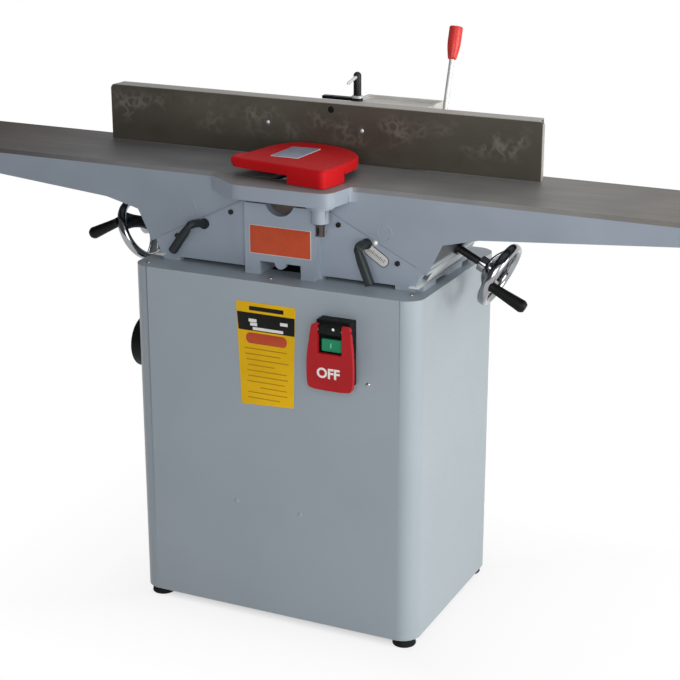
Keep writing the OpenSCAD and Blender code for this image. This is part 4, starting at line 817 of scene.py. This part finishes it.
# %% Fix the scale
scale_tilt, scale_place = np.radians(-33), np.array([179.8 * mm, apron_y, 722.3 * mm])
tick_reach, tick_count, tick_half, tick_width = 17 * mm, 13, 2 * mm, 0.8 * mm
along = np.array([np.cos(scale_tilt), 0, np.sin(scale_tilt)])
over = np.array([-np.sin(scale_tilt), 0, np.cos(scale_tilt)])
rim_outline = rounded_rectangle(53 * mm, 22 * mm, 10.9 * mm)
scale_rim = plate(rim_outline, 0.5 * mm, plate_edge, scale_place, along, over)
piece("scale_rim", scale_rim, dark_steel, "stand")
scale_outline = rounded_rectangle(50 * mm, 19 * mm, 9.4 * mm)
scale = plate(scale_outline, 0.8 * mm, 0.2 * mm, scale_place, along, over)
piece("scale_plate", scale, plate_pale, "stand")
ticks = []
for i, place in enumerate(np.linspace(-tick_reach, tick_reach, tick_count)):
    foot = scale_place + place * along + 0.7 * mm * front
    long = 2 if i % 3 == 0 else 1
    ticks.append(stroke(foot - tick_half * over, foot + long * tick_half * over, tick_width, front))
piece("scale_ticks", merge(*ticks), plate_black, "stand")
print("scale fixed with", len(ticks), "ticks")

# %% [markdown]
# ## Fence carriage fittings
# The clamp post has a round top, a thin bright bar and a washer at its foot. A bright rod leans back from the
# carriage and carries a red grip.

# %% Make the clamp
dressed("clamp_arm", black_steel, 1.0 * mm, 2)
post_low, post_high = corners("clamp_post")
clamp_x, clamp_y, _ = pivot("clamp_turn")
post_r, post_neck, bar_steps = 7.5 * mm, 12 * mm, 14
post_foot, post_dome = corners("clamp_arm")[1][2] + 0.3 * mm, post_high[2] - post_r
washer_profile = np.array([[0, 0], [11.5, 0], [11.5, 2.6], [9, 4.2], [0, 4.2]]) * mm
bend = np.linspace(0, np.pi / 2, 9)
dome_profile = np.stack([post_r * np.cos(bend), post_dome + post_r * np.sin(bend)], 1)
profile = np.r_[[[0, post_low[2]], [post_r / 2, post_low[2]], [post_r / 2, post_foot], [post_r, post_foot],
                 [post_r, post_foot + post_neck]], dome_profile]
post = turned(profile, [clamp_x, clamp_y, 0], upward, east)
piece("clamp_post_form", post, black_steel, "clamp", "clamp_post")
bar_y = np.linspace(clamp_y + 9 * mm, post_low[1], bar_steps)
bar_z = post_dome + np.linspace(1, -9, bar_steps) * mm
bar_half = np.r_[np.full(bar_steps - 4, 3.0), [3.2, 3.2, 2.6, 1.0]] * mm
bar = swept(np.stack([np.full(bar_steps, clamp_x), bar_y, bar_z], 1), bar_half, bar_half, upward)
piece("clamp_bar", bar, steel_painted_reflection, "clamp")
washer = turned(washer_profile, [clamp_x, clamp_y, post_foot - 0.2 * mm], upward, east)
piece("clamp_foot", washer, steel_painted_reflection, "clamp")
print("clamp made")

# %% Make the carriage lever
lean, rod_side, rod_r, rod_length, grip_start = np.radians(18.5), 6.4 * mm, 4.9, 130, 120.7 * mm
lever_hub = np.array([[0, -20], [6, -20], [6, 0.3], [11, 0.3], [12, 1.3], [12, 11.3], [11, 12.3],
                      [0, 12.3]]) * mm
lever = pivot("carriage_lever_turn")
run, root = np.array([0, np.sin(lean), np.cos(lean)]), lever + rod_side * east
rod = turned(np.array([[0, 0], [rod_r, 0], [rod_r, rod_length], [0, rod_length]]) * mm, root, run, east, 40)
form = merge(rod, turned(lever_hub, lever, east))
piece("carriage_lever_form", form, steel_painted_reflection, "lever", "carriage_lever")
s = np.linspace(0, 1, 16)
swell = np.stack([8.0 + 4.6 * np.sin(np.pi / 2 * np.minimum(s / 0.6, 1)), 1.6 + 57.4 * s], 1)
profile = np.r_[[[0, 0], [6.6, 0]], swell, [[12.2, 60.2], [11.4, 61], [0, 61]]] * mm
grip = turned(profile, root + grip_start * run, run, east)
piece("lever_grip_form", grip, grip_red, "lever", "lever_grip")
print("carriage lever made")

# %% [markdown]
# ## Feet and dust port
# The feet are moulded rubber with a soft lower edge. The dust port is a black tube on a round flange. It is
# hollow, so its profile is a closed loop.

# %% Make the feet
feet_high = corners("rubber_feet")[1]
foot_r, foot_h = 22 * mm, feet_high[2]
foot_neck = 0.9 * foot_r
foot_profile = [[0, 0], [foot_r - 2.5 * mm, 0], [foot_r - 0.8 * mm, 0.8 * mm], [foot_r, 2.5 * mm],
                [foot_r - 0.6 * mm, 5 * mm], [foot_neck, foot_h - 1 * mm], [foot_neck - 1 * mm, foot_h],
                [0, foot_h]]
foot_x, foot_y = feet_high[:2] - foot_r
feet = [turned(foot_profile, [sx * foot_x, sy * foot_y, 0], upward, east) for sx in (-1, 1) for sy in (-1, 1)]
piece("feet_form", merge(*feet), rubber, "stand", "rubber_feet")
print("feet made,", len(feet))

# %% Make the dust port
port_low, port_high = corners("dust_port")
port_middle = (port_low + port_high) / 2
port_middle[0] = port_high[0]
reach, flange = port_high[0] - port_low[0], (port_high[2] - port_low[2]) / 2
outer, inner = 50 * mm, 47 * mm
port_profile = [[inner, 0], [flange, 0], [flange, 2 * mm], [flange - 1 * mm, 3 * mm],
                [outer + 3 * mm, 3 * mm], [outer + 0.8 * mm, 4 * mm], [outer, 6 * mm],
                [outer, reach - 7 * mm], [outer, reach - 1 * mm], [outer - 0.8 * mm, reach],
                [inner + 0.5 * mm, reach], [inner, reach - 1 * mm]]
port = grid(wall(port_profile, port_middle, -east, upward, 96), True, True)
piece("dust_port_form", port, black_plastic, "stand", "dust_port")
print("dust port made, reaching", round(float(reach), 4))

# %% [markdown]
# ## Small fittings
# Cast rings on the table aprons, a half-round lug in the bed opening, domed screws, low domes for the
# dimples of the cabinet and a dark one, painted shade for the hole in the fence, are all turned parts or
# rings set on a face. A fine line marks the seam of each way, and a planed strip, painted near white as a
# highlight, lies at its foot.

# %% Add the small fittings
stem = 0.5 * mm
apron, cabinet_face, cabinet_lid = np.array([apron_y, cabinet_y, cabinet_high[2]]) / mm
lug_profile = np.array([[0, 0], [10.5, 0], [11.5, 1], [11.5, 9], [0, 9]]) * mm
strip = rounded_rectangle(20 * mm, 250 * mm, 2 * mm)


def dome(name, middle, axis, radius, height, tone, body):
    """A low dome: radius r cos t and height h sin t for t from 0 to a right angle, on a short stem."""
    t = np.linspace(0, np.pi / 2, 8)
    low_dome = np.stack([radius * np.cos(t), height * np.sin(t)], 1) * mm
    profile = np.r_[[[0, -stem], [radius * mm, -stem]], low_dome]
    piece(name, turned(profile, np.array(middle) * mm, axis, (1.0, 0.1, 0.2), 32), tone, body)


for side, x, z, radius in (("infeed", 195, 765, 13.5), ("outfeed", -197, 769, 18)):
    cast_ring = ring(np.array([x, apron, z]) * mm, north, radius * mm, 0.7 * mm)
    piece(side + "_cast_ring", cast_ring, cast_enamel, side)
lug = turned(lug_profile, np.array([0, -149.5, 690.5]) * mm, north)
piece("opening_lug", lug, cast_enamel, "stand")
for i, (x, y) in enumerate([(-11, -165.5), (-262, -168), (256, -152)]):
    dome(f"top_screw_{i}", (x, y, cabinet_lid), upward, 4, 2.2, steel, "stand")
dome("front_screw", (193.2, cabinet_face, 505), front, 4.6, 2.6, steel, "stand")
for i, (x, z) in enumerate([(-73, 236), (58, 231)]):
    dome(f"front_dent_{i}", (x, cabinet_face, z), front, 5, 1.5, enamel, "stand")
dome("infeed_set_screw", (177, apron, 744.5), front, 5, 3.5, steel_painted_reflection, "stand")
# A black disc on the fence's face is painted shade for its hole.
dome("fence_hole_painted_shade", (9.9, 39.5, 935.5), front, 6.2, 0.15, plate_black, "fence")
for i, x in enumerate([-119.7, 73.0]):
    dome(f"fence_screw_{i}", (x, 39.2, 901.8), front, 3.6, 2.0, steel_painted_reflection, "fence")
for side, sign in (("infeed", 1), ("outfeed", -1)):
    upper, lower = np.array([[75 * sign, apron, 798.8], [254 * sign, apron, 710]]) * mm
    piece(side + "_way_seam", stroke(upper, lower, 1.0 * mm, front), seam_shade, "stand")
    # The planed strip is painted near white, machined metal with a painted highlight.
    foot = plate(strip, 0.4 * mm, plate_edge, np.array([255 * sign, -20, 675]) * mm, east, north)
    piece(side + "_way_foot", foot, machined, "stand")
print("small fittings added")

# %% [markdown]
# ## Finishes of the remaining solids
# What is left keeps its CAD shape and only takes a finish: a few by their names, the others by the record's
# slot.

# %% Finish the rest
by_slot = {"paint": enamel, "table_iron": table_iron, "fence_iron": fence_iron, "rubber": rubber,
           "black_plastic": black_plastic, "red_plastic": paddle_red, "green_plastic": button_green,
           "guard_red": guard_red, "chrome": chrome, "black_steel": black_steel, "steel": steel,
           "pulley_iron": dull_iron, "motor_paint": motor_paint, "brass": brass}
# The cutterhead and knives take the pale steel, painted light that lifts their shade under the guard.
by_name = {"cutterhead": steel_painted_reflection, "knives": steel_painted_reflection, "bearing_block_front": bearing_brown,
           "guard_spindle": dark_steel, "fence_screws": dull_iron}
slot_of = {entry["node"]: entry["material_slot"] for entry in frame["record"]["subparts"]}
left = {name: solid for name, solid in frame["nodes"].items() if not solid.hide_render}
for name, solid in left.items():
    settle(solid.data, by_name.get(name, by_slot[slot_of[name]]), crisp_angle)
print("left as solids:", len(left))

# %% [markdown]
# ## Studio
# A large soft light stands to the right, with weaker ones in front and above, and the room behind gives soft
# light. The floor is dark under the cabinet, keeps the shadow near it and turns white further out; the
# surroundings are white for the camera and partly white for mirrors.

# %% Set up the room
world = bpy.data.worlds.new("studio")
scene.world = world
world.use_nodes = True
room = world.node_tree
room.nodes.clear()
ray = node(room, "ShaderNodeLightPath").outputs
way = node(room, "ShaderNodeTexCoord").outputs["Generated"]


def surround(toward, low, high, dim, bright):
    """The room seen in one kind of ray: strength eases from dim to bright as the ray turns to a direction."""
    facing = node(room, "ShaderNodeVectorMath", {0: way, 1: toward}, operation="DOT_PRODUCT")
    strength = span(room, facing.outputs["Value"], dim, bright, low, high, interpolation_type="SMOOTHSTEP")
    return node(room, "ShaderNodeBackground", {"Color": grey(1.0), "Strength": strength}).outputs[0]


white = node(room, "ShaderNodeBackground", {"Color": grey(1.0), "Strength": 1.0}).outputs[0]
soft_light = surround((-0.4, 0.9, 0.2), 0.0, 0.8, 0.03, 0.75)
reflected = surround((0.8, 0.45, 0.4), -0.2, 0.5, 0.12, 1.0)
mirror = calc(room, "MAXIMUM", ray["Is Glossy Ray"], ray["Is Transmission Ray"])
lit_by = node(room, "ShaderNodeMixShader", {0: mirror, 1: soft_light, 2: reflected}).outputs[0]
seen = node(room, "ShaderNodeMixShader", {0: ray["Is Camera Ray"], 1: lit_by, 2: white}).outputs[0]
node(room, "ShaderNodeOutputWorld", {"Surface": seen})
print("room set up")

# %% Hang the lights


def softbox(name, place, aim, size, power, colour=(1.0, 1.0, 1.0)):
    """A square light that faces a point."""
    lamp = bpy.data.lights.new(name, "AREA")
    lamp.shape, lamp.size, lamp.energy, lamp.color = "SQUARE", size, power, colour
    lit = bpy.data.objects.new(name, lamp)
    back = unit(np.array(place) - aim)
    up, _ = across(back)
    lit.matrix_world = posed(np.cross(up, back), up, back, place)
    scene.collection.objects.link(lit)


softbox("key", (2.7, -0.2, 1.15), (0.1, 0, 0.55), 1.7, 66, (1.0, 0.985, 0.92))
softbox("fill", (1.2, -2.8, 1.4), (0, 0, 0.55), 1.6, 46)
softbox("above", (0.5, -0.4, 3.4), (0, 0, 0.7), 2.4, 11)
print("lights hung")

# %% Lay the floor
floor_r, widest = 8.0, 4.0
radius = np.linspace(0.0, floor_r, 9)[:, None]
turn = np.linspace(0, 2 * np.pi, 64, endpoint=False)[None]
disc = np.stack([radius * np.cos(turn), radius * np.sin(turn), 0 * radius * turn], axis=-1)
floor_mesh = bpy.data.meshes.new("floor")
spots, faces = grid(disc, close_v=True)
floor_mesh.from_pydata(spots.tolist(), [], [face[::-1] for face in faces])
floor = bpy.data.objects.new("floor", floor_mesh)
scene.collection.objects.link(floor)


def floor_finish(name):
    """White paper: the share of glow that camera and mirrors see rises with the distance from the cabinet,
    the larger of |X| and |Y| in half widths of the cabinet."""
    material, tree, shader, place = start(name)
    shares = (1 / cabinet_high[0], 1 / cabinet_high[1], 1.0)
    scaled = node(tree, "ShaderNodeVectorMath", {0: place, 1: shares}, operation="MULTIPLY").outputs[0]
    away = node(tree, "ShaderNodeVectorMath", {0: scaled}, operation="ABSOLUTE").outputs[0]
    distance = calc(tree, "MAXIMUM", *axes(tree, away)[:2])
    glow_share = ramp(tree, span(tree, distance, 0.0, 1.0, 0.0, widest), (0.16, grey(0.05)),
                      (0.245, grey(0.86)), (0.36, grey(0.93)), (0.6, grey(1.0)))
    ray = node(tree, "ShaderNodeLightPath").outputs
    watched = calc(tree, "MAXIMUM", *[ray[f"Is {kind} Ray"] for kind in ("Camera", "Glossy", "Transmission")])
    feed(tree, shader, {
        "Roughness": 0.9,
        "Base Color": ramp(tree, noise(tree, place, 3.0), (0.3, grey(0.58)), (0.7, grey(0.6)))})
    glow = node(tree, "ShaderNodeEmission", {"Color": grey(1.0), "Strength": 1.0}).outputs[0]
    share = calc(tree, "MULTIPLY", glow_share, watched)
    blend = node(tree, "ShaderNodeMixShader", {0: share, 1: shader.outputs[0], 2: glow}).outputs[0]
    feed(tree, tree.nodes["Material Output"], {"Surface": blend})
    return material


floor_mesh.materials.append(floor_finish("floor_paper"))
scene.view_settings.view_transform = "Standard"
print("floor laid")
